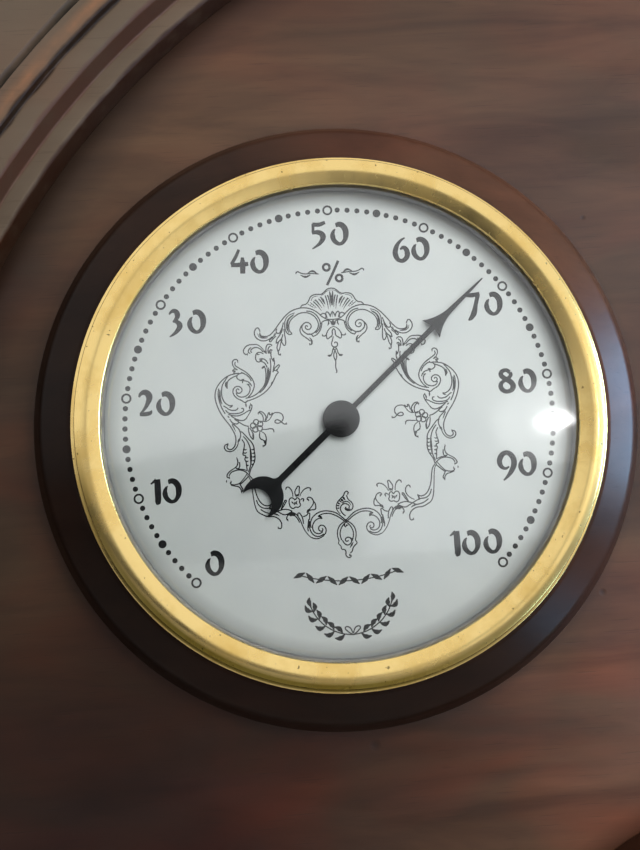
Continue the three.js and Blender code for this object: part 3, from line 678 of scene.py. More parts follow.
@dataclass(frozen=True)
class BoardWood(Wood):
    """The board's wood, with its small knocks and pits, painted shadow to the left, a painted patch of
    shade low down, a painted sheen to the lower right and painted contact shade at the rim and the
    surrounds.
    """

    pits: tuple[Triple, ...] = ()
    front: float = 20
    shadow: Colour = (0.54, 0.64, 0.7, 1)
    shadow_ends: Pair = (-113.7, -78.7)
    # A painted patch of shade low on the board: its middle, its reach and its tone.
    pool: Pair = (-90.7, -28)
    pool_ends: Pair = (12, 60)
    pool_tone: Colour = (0.26, 0.17, 0.17, 1)
    # A painted bluish sheen towards the lower right, and where it starts and stops.
    faded: Colour = (1.5, 1.5, 1.65, 1)
    faded_ends: Pair = (-27, -5)
    # Painted contact shade on the board's face at the rim's foot and round each surround.
    soil: Colour = shade(24, 15, 11)
    soil_by_rim: Pair = (116.5, 123)
    soil_by_dials: Pair = (46.8, 43.6)
    soil_levels: Pair = (18.5, 19.5)

    def make(self) -> Material:
        """Make the material."""
        graph = self.graph()
        place = graph.place()
        for x, z, size in self.pits:
            away = graph.add("ShaderNodeVectorMath", operation="DISTANCE")
            graph.feed(away.inputs[0], place)
            graph.feed(away.inputs[1], (x, -self.front, z))
            pit = graph.spread(away.outputs["Value"], size, size * 0.3)
            graph.cover(graph.math("MULTIPLY", pit, 0.8), self.dark)
            graph.bump(graph.math("SUBTRACT", 1.0, pit), 0.15, 0.4)
        left = graph.spread(graph.lean(1, 0), *self.shadow_ends)
        graph.stain(graph.mix(left, self.shadow, WHITE))
        # Painted patch of shade low on the board.
        pool = graph.spread(graph.radius(self.pool), *self.pool_ends)
        graph.stain(graph.mix(pool, self.pool_tone, WHITE))
        # Painted sheen towards the lower right.
        faded = graph.spread(graph.lean(0.8, -0.6), *self.faded_ends)
        graph.stain(graph.mix(faded, WHITE, self.faded))
        smoke = graph.noise((46, 46, 28), 3, 0.5, 0.6)
        streak = graph.noise((40, 20, 6.5), 4, 0.6, 0.9)
        smoke = graph.math("MULTIPLY", graph.spread(smoke, 0.32, 0.66, 0.76, 1.1),
                           graph.spread(streak, 0.34, 0.66, 0.8, 1.2))
        graph.stain(graph.grey(smoke))
        # Painted contact shade at the foot of the rim and of each surround.
        contact_shade_share = graph.spread(graph.radius((0, 0)), *self.soil_by_rim, 0, 0.75)
        foot = graph.radius(*(instrument.centre() for instrument in Instrument))
        contact_shade_share = graph.math("MAXIMUM", contact_shade_share, graph.spread(foot, *self.soil_by_dials, 0, 0.5))
        contact_shade_share = graph.math("MULTIPLY", contact_shade_share, graph.spread(graph.lean(0, 0, 1), *self.soil_levels))
        graph.cover(contact_shade_share, self.soil)
        return graph.owner


@dataclass(frozen=True)
class Band:
    """A ring of another tone on the rim: painted shade on the risers and in the groove, and a rubbed edge.
    """

    radius: float
    half: float
    tone: Colour
    most: float
    least: float


@dataclass(frozen=True)
class RimWood(Wood):
    """The rim's wood, with shade painted dark on its risers and in its groove, and rubbed on one edge."""

    bands: tuple[Band, ...] = ()

    def make(self) -> Material:
        """Make the material."""
        graph = self.graph()
        patch = graph.noise((9, 6, 9), 4, 0.6)
        wander = graph.spread(graph.noise((5, 5, 5), 3), 0.3, 0.7, -0.18, 0.18)
        radius = graph.math("ADD", graph.radius((0, 0)), wander)
        # Painted shade on the risers and in the groove; the wide pale ring is a rubbed edge.
        for band in self.bands:
            away = graph.math("ABSOLUTE", graph.math("SUBTRACT", radius, band.radius))
            near = graph.spread(away, band.half, 0.08)
            share = graph.math("MULTIPLY", near, graph.spread(patch, 0.35, 0.6, band.least, band.most))
            graph.cover(share, band.tone)
        return graph.owner


@dataclass(frozen=True)
class SurroundWood(Wood):
    """The surrounds' wood, with shade painted in from brown at the upper right to nearly black at the
    lower left.
    """

    # How dark the painted shade gets, and where it starts and stops across each dial.
    black: float = 0.1
    ends: Pair = (-34, 46)

    def make(self) -> Material:
        """Make the material."""
        graph = self.graph()
        # Painted shade, lighter at the upper right of each dial and darker at the lower left.
        share = graph.math("POWER", graph.spread(graph.dial_lean(0.8, 0.6), *self.ends), 2.6)
        cloud = graph.spread(graph.noise((16, 16, 9), 4, 0.6, 0.5), 0.34, 0.66, 0.74, 1.26)
        graph.stain(graph.grey(graph.math("MULTIPLY", graph.spread(share, 0, 1, self.black, 1), cloud)))
        return graph.owner


@dataclass(frozen=True)
class Metal:
    """Metal with a grain of fine marks, stains and specks, and a dark reflection painted low on the outer
    flank round each dial.
    """

    name: str
    bright: Colour
    dull: Colour
    speck: Colour
    roughness: float
    speck_share: float = 0.7
    corner: Pair = (35.25, 0.22)
    # Where the dark reflection is painted: the flank's radii, how far down it starts, and its colour.
    flank_start: Pair = (33.9, 34.4)
    flank_end: Pair = (35.8, 35.6)
    lower_ends: Pair = (-10, -34)
    lower: Colour = (0.3, 0.3, 0.16, 1)

    def make(self) -> Material:
        """Make the material."""
        graph = Graph(self.name)
        stain = graph.noise((6, 6, 6), 4, 0.6)
        graph.set(base_color=graph.mix(graph.spread(stain, 0.42, 0.72), self.bright, self.dull))
        dots = graph.noise((0.55, 0.55, 0.55), 1)
        speck = graph.spread(dots, 0.73, 0.78)
        graph.cover(graph.math("MULTIPLY", speck, self.speck_share), self.speck)
        radius = graph.radius(*(instrument.centre() for instrument in Instrument))
        middle, half = self.corner
        away = graph.math("ABSOLUTE", graph.math("SUBTRACT", radius, middle))
        graph.cover(graph.spread(away, half, 0.05, 0, 0.85), self.speck)
        # Painted dark reflection low on the outer flank round each dial.
        flank = graph.spread(radius, *self.flank_start)
        under = graph.math("MULTIPLY", flank, graph.spread(graph.dial_lean(0.35, 1), *self.lower_ends))
        under = graph.math("MULTIPLY", under, graph.spread(radius, *self.flank_end))
        graph.stain(graph.mix(under, WHITE, self.lower))
        graph.set(metallic=1.0)
        rough = graph.spread(stain, 0.35, 0.7, self.roughness * 0.8, self.roughness * 1.25)
        graph.set(roughness=graph.math("ADD", rough, graph.math("MULTIPLY", speck, 0.3)))
        graph.bump(graph.noise((2.2, 2.2, 2.2), 3), 0.012, 0.4)
        graph.bump(graph.math("SUBTRACT", 1.0, speck), 0.01, 0.5)
        return graph.owner


@dataclass(frozen=True)
class Paint:
    """Paint, ink, rubber or card, with slight cloudiness and a fine tooth."""

    name: str
    colour: Colour
    cloud: Colour
    roughness: float
    tooth: float
    size: float = 5
    gloss: float = 0.5

    def graph(self) -> Graph:
        """Build the nodes.

        Returns:
            The nodes, with the colour linked to the shader.
        """
        graph = Graph(self.name)
        cloud = graph.noise((self.size, self.size, self.size), 4, 0.6)
        graph.set(base_color=graph.mix(graph.spread(cloud, 0.35, 0.7), self.colour, self.cloud))
        rough = graph.spread(cloud, 0.3, 0.7, self.roughness - 0.06, self.roughness + 0.08)
        graph.set(roughness=rough, specular_ior_level=self.gloss)
        graph.bump(graph.noise((0.35, 0.35, 0.35), 2), self.tooth, 0.5)
        return graph

    def make(self) -> Material:
        """Make the material."""
        return self.graph().owner


@dataclass(frozen=True)
class DialPaint(Paint):
    """The dials' paint, with shade painted in near the edge of each dial, under the bezel's lip."""

    # Where the painted shade at the dial's edge starts and stops, and how dark it gets.
    edge: Pair = (29.6, 32.2)
    dull: float = 0.5

    def make(self) -> Material:
        """Make the material."""
        graph = self.graph()
        radius = graph.radius(*(instrument.centre() for instrument in Instrument))
        # Painted shade towards the edge of the dial.
        graph.stain(graph.grey(graph.spread(radius, *self.edge, 1, self.dull)))
        return graph.owner


@dataclass(frozen=True)
class Glass:
    """Clear domed glass that mirrors more at a slant, with a few smears."""

    name: str
    facing: float = 0.085

    def make(self) -> Material:
        """Make the material."""
        graph = Graph(self.name)
        graph.tree.nodes.remove(graph.shader)
        clear = graph.add("ShaderNodeBsdfTransparent")
        clear.inputs["Color"].default_value = (0.97, 0.98, 0.975, 1)
        mirror = graph.add("ShaderNodeBsdfGlossy")
        smear = graph.noise((9, 9, 9), 4, 0.6)
        graph.feed(mirror.inputs["Roughness"], graph.spread(smear, 0.4, 0.75, 0.05, 0.14))
        slant = graph.add("ShaderNodeLayerWeight")
        rise = graph.math("POWER", slant.outputs["Facing"], 5.0)
        share = graph.math("MULTIPLY_ADD", rise, 1 - self.facing, self.facing)
        both = graph.add("ShaderNodeMixShader")
        graph.feed(both.inputs[0], share)
        graph.feed(both.inputs[1], clear.outputs[0])
        graph.feed(both.inputs[2], mirror.outputs[0])
        graph.feed(graph.tree.nodes["Material Output"].inputs["Surface"], both.outputs[0])
        return graph.owner


class Finish(Enum):
    """The finishes of the weather station."""

    BOARD = BoardWood(
        "board_mahogany", shade(56, 36, 25), shade(81, 56, 39), shade(96, 70, 49),
        shade(101, 54, 35), 0.45, 0.26, 0.04, 0.3, deep=0.0,
        pits=((-18.6, 63.5, 0.5), (-20.7, 6.3, 0.6), (-56.2, -13.3, 0.9)),
    )
    RIM = RimWood(
        "rim_mahogany", shade(87, 73, 60), shade(105, 91, 77), shade(115, 101, 86),
        shade(112, 86, 70), 0.42, 0.13, 0.04, 0.25, deep=0.4,
        # Painted shade on the foot and risers at 123.48, 126.28 and 129.58 and in the groove at 133.28;
        # 130.8 is a rubbed edge.
        bands=(Band(123.48, 0.5, shade(60, 34, 20), 0.95, 0.8),
               Band(126.28, 0.45, shade(96, 66, 54), 0.9, 0.7),
               Band(129.58, 0.45, shade(34, 20, 11), 0.95, 0.8),
               Band(130.8, 1.3, shade(160, 112, 80), 0.7, 0.1),
               Band(133.28, 0.65, shade(46, 44, 40), 0.95, 0.8)),
    )
    SURROUND = SurroundWood(
        "surround_mahogany", shade(73, 48, 35), shade(94, 64, 48), shade(107, 75, 56),
        shade(102, 58, 41), 0.38, 0.05, 0.12, 0.28, deep=0.0,
    )
    BRASS = Metal("lacquered_brass", shade(245, 213, 139), shade(230, 191, 109),
                  shade(92, 74, 34), 0.26)
    STEEL = Metal("plated_steel", shade(188, 188, 184), shade(150, 150, 146),
                  shade(92, 84, 74), 0.34)
    COIL = Metal("coil_strip", shade(196, 150, 104), shade(160, 118, 80), shade(80, 60, 44), 0.36)
    BLACK = Paint("black_lacquer", shade(14, 15, 16), shade(24, 25, 26), 0.3, 0.004, 3, 0.12)
    INK = Paint("dial_ink", shade(14, 15, 16), shade(24, 25, 26), 0.55, 0.004, 1.5, 0.12)
    DIAL = DialPaint("silvered_dial", shade(219, 222, 221), shade(212, 216, 216), 0.4, 0.003, 7)
    # The spacer's grey, close to the dial's shaded edge, is painted shade under the bezel's lip.
    SPACER = Paint("spacer_ring", shade(150, 148, 146), shade(132, 130, 128), 0.5, 0.006, 3)
    RUBBER = Paint("grip_rubber", shade(38, 37, 36), shade(56, 54, 52), 0.7, 0.02, 4)
    GLASS = Glass("dial_glass")

    def material(self) -> Material:
        """The finish's material, made the first time that it is asked for."""
        made = bpy.data.materials.get(self.value.name)
        return made or self.value.make()

    def slot(self) -> str:
        """The record's material slot, in which ink goes with the black pieces."""
        return "black" if self is Finish.INK else self.name.lower()


def fit(piece: Piece, finish: Finish, body: str, *nodes: str) -> Piece:
    """Dress a piece and tie it to the frame.

    Args:
        piece: the finished piece.
        finish: its finish.
        body: the body it moves with.
        *nodes: the solids it stands for.

    Returns:
        The piece.
    """
    piece.data.materials.clear()
    piece.data.materials.append(finish.material())
    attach(piece, body)
    finish.slot()
    if nodes:
        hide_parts(*nodes)
    return piece


class Instrument(Enum):
    """The three instruments, named as their nodes are."""

    HYGROMETER = "hygrometer"
    THERMOMETER = "thermometer"
    BAROMETER = "barometer"

    def node(self, part: str) -> str:
        """Name of one of the instrument's nodes."""
        return f"{self.value}_{part}"

    def centre(self) -> Pair:
        """Middle of the dial, across and up."""
        return middle_of(self.node("dial"))

    def shift(self) -> Vector:
        """The dial's place from the first instrument's, in metres."""
        x, z = self.centre()
        first_x, first_z = Instrument.HYGROMETER.centre()
        return Vector((x - first_x, 0, z - first_z)) * MM


def middle_of(node: str) -> Pair:
    """Middle of a node, across and up."""
    low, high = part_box(node)
    middle = (low + high) / (2 * MM)
    return middle.x, middle.z


def back_and_front(node: str) -> Pair:
    """Lowest and highest level of a node above the wall."""
    low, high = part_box(node)
    return -high.y / MM, -low.y / MM


def reach(node: str) -> float:
    """Half of a node's width."""
    low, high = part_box(node)
    return (high.x - low.x) / (2 * MM)


def set_on_every_dial(piece: Piece, part: str, finish: Finish, printed: bool = False) -> list[Piece]:
    """Copy a piece of the first instrument to the others, and fit all three.

    Args:
        piece: the piece on the first instrument.
        part: what the piece is called in node names.
        finish: its finish.
        printed: whether it is print, which stands for no solid.

    Returns:
        The three pieces.
    """
    pieces = []
    for instrument in Instrument:
        name = instrument.node(part) if printed else f"{instrument.node(part)}_fine"
        made = piece
        if instrument is not Instrument.HYGROMETER:
            made = Bench.copy(piece, name, instrument.shift())
        made.name = name
        pieces.append(made)
    for made, instrument in zip(pieces, Instrument):
        fit(made, finish, "case", *(() if printed else (instrument.node(part),)))
    return pieces


@dataclass
class Case:
    """The board, the stepped rim round it and the hanger on its back."""

    tread_1: float = 2.8
    tread_2: float = 3.3
    tread_3: float = 3.1
    rise_1: float = 3.6
    rise_2: float = 3.4
    groove_width: float = 1.2
    groove_depth: float = 1.1
    edge: float = 4
    rebate_wall: float = 6.7
    rim_width: float = 21.5
    rim_gap: float = 0.1
    bore: float = 34.1
    bore_flare: float = 1.5
    bore_flare_depth: float = 0.5
    hanger_half: Pair = (25, 12)
    hanger_corner: float = 3
    keyhole_radius: float = 4.6
    keyhole_slot: float = 2.4
    keyhole_rise: float = 8
    bed_gap: float = 0.3
    bed_depth: float = 1.6
    pocket_gap: float = 1.4
    pocket: float = 9
    screw_offset: float = 19
    screw_turns: Pair = (24, -58)
    screw_head: float = 3.4
    screw_cone: float = 1.2
    screw_shank: float = 1.5
    screw_point: float = 1.5
    screw_gap: float = 0.3
    slot_half: float = 0.45
    slot_depth: float = 0.7
    facets: int = 384

    def build(self) -> list[Piece]:
        """Build the pieces of the case."""
        return [self.rim(), self.board(), self.hanger(), *self.screws()]

    def slab(self, margin: float) -> Profile:
        """Outline of the hanger plate.

        Args:
            margin: how much it is grown all round.

        Returns:
            The outline.
        """
        across, up = self.hanger_half
        soft = self.hanger_corner
        ways = ((1, 1, 0), (-1, 1, 90), (-1, -1, 180), (1, -1, 270))
        return [point for right, above, start in ways
                for point in arc(right * (across - soft), above * (up - soft), soft + margin, start,
                                 start + 90, 8)]

    def keyhole(self, margin: float) -> Profile:
        """Outline of the keyhole.

        Args:
            margin: how much it is grown all round.

        Returns:
            The outline.
        """
        hole = self.keyhole_radius + margin
        slot = self.keyhole_slot + margin
        meeting = math.degrees(math.acos(slot / hole))
        return [*arc(0, 0, hole, 180 - meeting, 360 + meeting, 32),
                *arc(0, self.keyhole_rise, slot, 0, 180, 16)]

    def board(self) -> Piece:
        """Turn the board, bore it for the dials and sink the hanger's bed into its back.

        Returns:
            The board.
        """
        back, front = back_and_front("case_board")
        outer = reach("case_board")
        corners = [(0, back, 0), (outer, back, 0.6), (outer, front, 0.4), (0, front, 0)]
        piece = Bench.turn("case_board_fine", rounded(corners, 3), (0, 0), self.facets)
        bore = [(0, back - 1), (self.bore + self.bore_flare, back - 1),
                (self.bore, back + self.bore_flare_depth), (self.bore, front + 1), (0, front + 1)]
        for instrument in Instrument:
            Bench.cut(piece, Bench.turn("bore", bore, instrument.centre()))
        x, z = middle_of("hanger_plate")
        sunk = ((self.slab(self.bed_gap), self.bed_depth), (self.keyhole(self.pocket_gap), self.pocket))
        for outline, depth in sunk:
            tool = Bench.sheet("sinker", outline, 2 * depth, 0)
            Bench.stand_up(tool, x, back, z)
            Bench.cut(piece, tool)
        Bench.level(piece)
        return fit(piece, Finish.BOARD, "case", "case_board")

    def hanger(self) -> Piece:
        """Cut the hanger plate, with its keyhole and its two countersunk holes.

        Returns:
            The hanger plate.
        """
        back, front = back_and_front("hanger_plate")
        x, z = middle_of("hanger_plate")
        piece = Bench.sheet("hanger_plate_fine", self.slab(0), front - back, 0.2)
        Bench.stand_up(piece, x, (back + front) / 2, z)
        tool = Bench.sheet("keyhole", self.keyhole(0), 6, 0)
        Bench.stand_up(tool, x, front, z)
        Bench.cut(piece, tool)
        head, shank = self.screw_head + self.screw_gap, self.screw_shank + self.screw_gap
        sink = [(0, back - 1), (head, back - 1), (head, back + 0.1), (shank, back + self.screw_cone + 0.1),
                (shank, front + 1), (0, front + 1)]
        for side in (-1, 1):
            Bench.cut(piece, Bench.turn("sink", sink, (x + side * self.screw_offset, z), 48))
        Bench.level(piece)
        return fit(piece, Finish.STEEL, "case", "hanger_plate")

    def screws(self) -> list[Piece]:
        """Turn the two countersunk screws and cut their slots.

        Returns:
            The screws.
        """
        pieces = []
        x, z = middle_of("hanger_plate")
        for side, word, angle in zip((-1, 1), ("left", "right"), self.screw_turns):
            back, tip = back_and_front(f"hanger_screw_{word}")
            corners = [(0, back, 0), (self.screw_head, back, 0.12),
                       (self.screw_shank, back + self.screw_cone, 0.2),
                       (self.screw_shank, tip - self.screw_point, 0.3), (0, tip, 0)]
            place = x + side * self.screw_offset
            piece = Bench.turn(f"hanger_screw_{word}_fine", rounded(corners, 3), (place, z), 48)
            slot = Bench.sheet("slot", bar(self.screw_head + 1, self.slot_half), 2 * self.slot_depth, 0)
            Bench.stand_up(slot, place, back, z, angle)
            Bench.cut(piece, slot)
            Bench.smooth(piece)
            pieces.append(fit(piece, Finish.STEEL, "case", f"hanger_screw_{word}"))
        return pieces

    def rim(self) -> Piece:
        """Turn the rim.

        Returns:
            The rim.
        """
        _, front = back_and_front("rim_moulding")
        _, seat = back_and_front("case_board")
        outer = reach("rim_moulding")
        rebate = outer - self.rebate_wall
        inner = outer - self.rim_width
        second = inner + self.tread_1
        third = second + self.tread_2
        groove = third + self.tread_3
        low = seat + self.rim_gap
        corners = [
            (inner, low, 0.1),
            (inner, low + self.rise_1, 0.6),
            (second, low + self.rise_1, 0.25),
            (second, low + self.rise_1 + self.rise_2, 0.6),
            (third, low + self.rise_1 + self.rise_2, 0.2),
            (third, front, 0.4),
            (groove, front, 0.15),
            (groove + self.groove_width / 2, front - self.groove_depth, 0.12),
            (groove + self.groove_width, front, 0.2),
            (outer, front, self.edge),
            (outer, 0, 0.5),
            (rebate, 0, 0.2),
            (rebate, low, 0),
        ]
        piece = Bench.turn("rim_moulding_fine", rounded(corners), (0, 0), self.facets)
        return fit(piece, Finish.RIM, "case", "rim_moulding")


@dataclass
class DialHousing:
    """What carries and covers a dial: surround, bezel, glass, spacer ring, can and grip ring."""

    surround_inner: float = 34.1
    surround_crown: float = 36.6
    surround_slope: Pair = (40.9, 1.75)
    surround_shoulder: Pair = (43.1, 5)
    surround_foot: float = 43.5
    flange: float = 36.0
    flange_thickness: float = 0.5
    skirt: float = 33.8
    skirt_bore: float = 33.3
    fold: float = 0.65
    fold_thickness: float = 0.5
    spacer_wall: float = 1.1
    flank: float = 35.05
    flank_fall: float = 0.33
    crown: float = 33.7
    lip: float = 31.75
    cone_fall: float = 0.6
    glass_rise: float = 2
    glass_thickness: float = 1.2
    knob_hole: float = 1.3
    can_bore: float = 3.3
    can_wall: float = 0.7
    can_flange: float = 0.6
    bead: float = 28.4
    bead_half: float = 0.8
    bead_depth: float = 0.4
    vents: int = 6
    vent_circle: float = 21
    vent_length: float = 8
    vent_width: float = 2.2
    rib_pitch: float = 0.75
    rib_depth: float = 0.35
    grip_wall: float = 1.5
    facets: int = 192

    def build(self) -> list[Piece]:
        """Build the housing once and set it on every dial.

        Returns:
            The pieces.
        """
        pieces = []
        pieces += set_on_every_dial(self.surround(), "surround", Finish.SURROUND)
        pieces += set_on_every_dial(self.bezel(), "bezel", Finish.BRASS)
        pieces += set_on_every_dial(self.spacer(), "spacer_ring", Finish.SPACER)
        pieces += set_on_every_dial(self.can(), "can", Finish.STEEL)
        pieces += set_on_every_dial(self.grip(), "grip_ring", Finish.RUBBER)
        pieces += self.glasses()
        return pieces

    def surround(self) -> Piece:
        """Turn the wooden surround.

        Returns:
            The surround.
        """
        back, front = back_and_front("hygrometer_surround")
        slope, fall = self.surround_slope
        shoulder, drop = self.surround_shoulder
        corners = [
            (self.surround_inner, back, 0),
            (self.surround_foot, back, 0.2),
            (shoulder, front - drop, 2.5),
            (slope, front - fall, 2.5),
            (self.surround_crown, front, 1),
            (self.surround_inner, front, 0.3),
        ]
        return Bench.turn("surround", rounded(corners, 8), Instrument.HYGROMETER.centre(), self.facets)

    def bezel(self) -> Piece:
        """Turn the brass bezel: a flange, a flank and a cone down to the lip over the glass.

        Returns:
            The bezel.
        """
        back, front = back_and_front("hygrometer_bezel")
        _, table = back_and_front("hygrometer_surround")
        seat = table + 0.1
        flange = seat + self.flange_thickness
        edge = front - self.cone_fall
        corners = [
            (self.lip + self.fold, back, 0.15),
            (self.skirt, back, 0.15),
            (self.skirt, seat, 0),
            (self.flange, seat, 0.2),
            (self.flange, flange, 0.22),
            (self.flank + 0.1, flange, 0.15),
            (self.flank, flange + 0.2, 0.1),
            (self.flank, front - self.flank_fall, 0.35),
            (self.crown, front, 2.5),
            (self.lip, edge, 0.12),
            (self.lip, edge - 0.5, 0.1),
            (self.skirt_bore, edge - 0.7, 0),
            (self.skirt_bore, back + self.fold_thickness, 0.1),
            (self.lip + self.fold, back + self.fold_thickness, 0.1),
        ]
        return Bench.turn("bezel", rounded(corners), Instrument.HYGROMETER.centre(), self.facets)

    def spacer(self) -> Piece:
        """Turn the ring between the dial and the glass.

        Returns:
            The spacer ring.
        """
        back, front = back_and_front("hygrometer_spacer_ring")
        outer = reach("hygrometer_spacer_ring")
        inner = outer - self.spacer_wall
        corners = [(inner, back, 0.1), (outer, back, 0.1), (outer, front, 0.1), (inner, front, 0.2)]
        return Bench.turn("spacer", rounded(corners, 3), Instrument.HYGROMETER.centre(), self.facets)

    def can(self) -> Piece:
        """Turn the can behind a dial and cut the vents in its floor.

        Returns:
            The can.
        """
        back, front = back_and_front("hygrometer_can")
        flange = reach("hygrometer_can")
        wall = flange - 1
        x, z = Instrument.HYGROMETER.centre()
        corners = [
            (self.can_bore, back, 0.15),
            (self.bead - self.bead_half, back, 0.4),
            (self.bead, back + self.bead_depth, 0.5),
            (self.bead + self.bead_half, back, 0.4),
            (wall, back, 1.2),
            (wall, front - self.can_flange, 0.15),
            (flange, front - self.can_flange, 0.1),
            (flange, front, 0.1),
            (wall - self.can_wall, front, 0.3),
            (wall - self.can_wall, back + self.can_wall, 0.6),
            (self.can_bore, back + self.can_wall, 0.1),
        ]
        piece = Bench.turn("can", rounded(corners, 4), (x, z), self.facets)
        half = self.vent_width / 2
        run = self.vent_length / 2 - half
        outline = [*arc(self.vent_circle + run, 0, half, -90, 90, 10),
                   *arc(self.vent_circle - run, 0, half, 90, 270, 10)]
        for index in range(self.vents):
            slot = Bench.sheet("vent", outline, 4, 0)
            Bench.stand_up(slot, x, back, z, 360 * (index + 0.5) / self.vents)
            Bench.cut(piece, slot)
        Bench.level(piece)
        return piece

    def grip(self) -> Piece:
        """Turn the ribbed rubber ring that holds a can in its hole.

        Returns:
            The ring.
        """
        back, front = back_and_front("hygrometer_grip_ring")
        outer = reach("hygrometer_grip_ring")
        inner = outer - self.grip_wall
        ribs = [(outer - self.rib_depth * (index % 2), back + 1 + self.rib_pitch * index, 0.25)
                for index in range(5)]
        corners = [(inner, back, 0.2), (outer - 0.5, back, 0.3), *ribs,
                   (outer - 0.5, front, 0.3), (inner, front, 0.2)]
        return Bench.turn("grip", rounded(corners, 3), Instrument.HYGROMETER.centre(), 128)

    def glass(self, bore: float) -> Profile:
        """Profile of a domed glass.

        Args:
            bore: radius of the hole in its middle.

        Returns:
            The profile.
        """
        back, _ = back_and_front("hygrometer_glass")
        outer = reach("hygrometer_glass")
        radii = [bore + (outer - bore) * step / 24 for step in range(25)]
        dome = [(r, back + self.glass_rise * (1 - (r / outer) ** 2)) for r in radii]
        front = [(r, level + self.glass_thickness) for r, level in dome]
        return dome + front[::-1]

    def glasses(self) -> list[Piece]:
        """Turn the three glasses, of which the barometer's has a hole for its knob.

        Returns:
            The glasses.
        """
        pieces = []
        for instrument in Instrument:
            bore = self.knob_hole if instrument is Instrument.BAROMETER else 0
            name = instrument.node("glass_fine")
            piece = Bench.turn(name, self.glass(bore), instrument.centre(), 128)
            pieces.append(fit(piece, Finish.GLASS, "case", instrument.node("glass")))
        return pieces


GLYPHS: dict[str, list[Stroke]] = {
    "0": [[(.17, .84, .15), (.34, .87, .19), (.51, .73, .21), (.56, .47, .2), (.48, .2, .14),
           (.31, .08, .12), (.13, .17, .16), (.03, .4, .18), (.08, .61, .1), (.15, .69, .03)]],
    "1": [[(-.02, .8, .05), (.2, .95, .12)],
          [(.24, .97, .2), (.24, .5, .22), (.22, .08, .2), (.18, 0, .06)]],
    "2": [[(.13, .8, .06), (.2, .92, .12), (.38, .97, .2), (.52, .82, .23), (.45, .54, .15),
           (.28, .28, .09), (.15, .15, .06)],
          [(.13, .13, .12), (.36, .13, .15), (.54, .17, .13), (.6, .26, .04)]],
    "3": [[(.09, .83, .05), (.17, .93, .1), (.31, .96, .16), (.41, .81, .19), (.33, .61, .12),
           (.22, .54, .05)],
          [(.22, .54, .05), (.36, .53, .14), (.48, .38, .2), (.38, .18, .15), (.21, .03, .09),
           (.07, -.05, .04)]],
    "4": [[(.36, 1.02, .1), (.2, .7, .12), (.04, .45, .12)],
          [(.02, .41, .14), (.4, .41, .16), (.7, .43, .14)],
          [(.48, .7, .1), (.48, .45, .2), (.46, .05, .17)]],
    "5": [[(.1, .92, .14), (.35, .9, .15), (.6, .98, .12)],
          [(.12, .95, .1), (.1, .58, .1)],
          [(.06, .57, .1), (.3, .59, .17), (.48, .44, .21), (.38, .18, .14), (.15, 0, .07),
           (.03, -.07, .04)]],
    "6": [[(.55, .97, .05), (.36, .85, .1), (.17, .56, .17), (.14, .28, .19), (.31, .05, .14),
           (.52, .11, .16), (.61, .34, .19), (.49, .57, .15), (.33, .51, .06)]],
    "7": [[(.02, .9, .12), (.3, .88, .16), (.62, .92, .14)],
          [(.56, .9, .14), (.44, .5, .14), (.34, .15, .2), (.2, -.05, .14), (.1, -.12, .05)]],
    "8": [[(.48, .87, .14), (.3, .96, .13), (.11, .82, .16), (.25, .63, .17), (.48, .48, .19),
           (.56, .28, .19), (.34, .11, .14), (.11, .22, .17), (.08, .4, .15), (.29, .58, .1),
           (.5, .75, .13), (.48, .87, .14)]],
    "9": [[(.42, .42, .06), (.25, .36, .1), (.07, .52, .17), (.1, .8, .19), (.33, .97, .16),
           (.55, .84, .19), (.62, .56, .2), (.5, .26, .17), (.3, .02, .1), (.16, -.1, .05)]],
    "-": [[(.05, .45, .12), (.4, .45, .12)]],
    "%": [[(x, y, .085) for x, y in arc(.14, .74, .13, 0, 360, 8)],
          [(x, y, .085) for x, y in arc(.62, .28, .13, 0, 360, 8)],
          [(.62, .98, .09), (.38, .5, .09), (.12, .02, .09)]],
    "°": [[(x, y, .11) for x, y in arc(.38, .5, .2, 0, 360, 8)]],
}


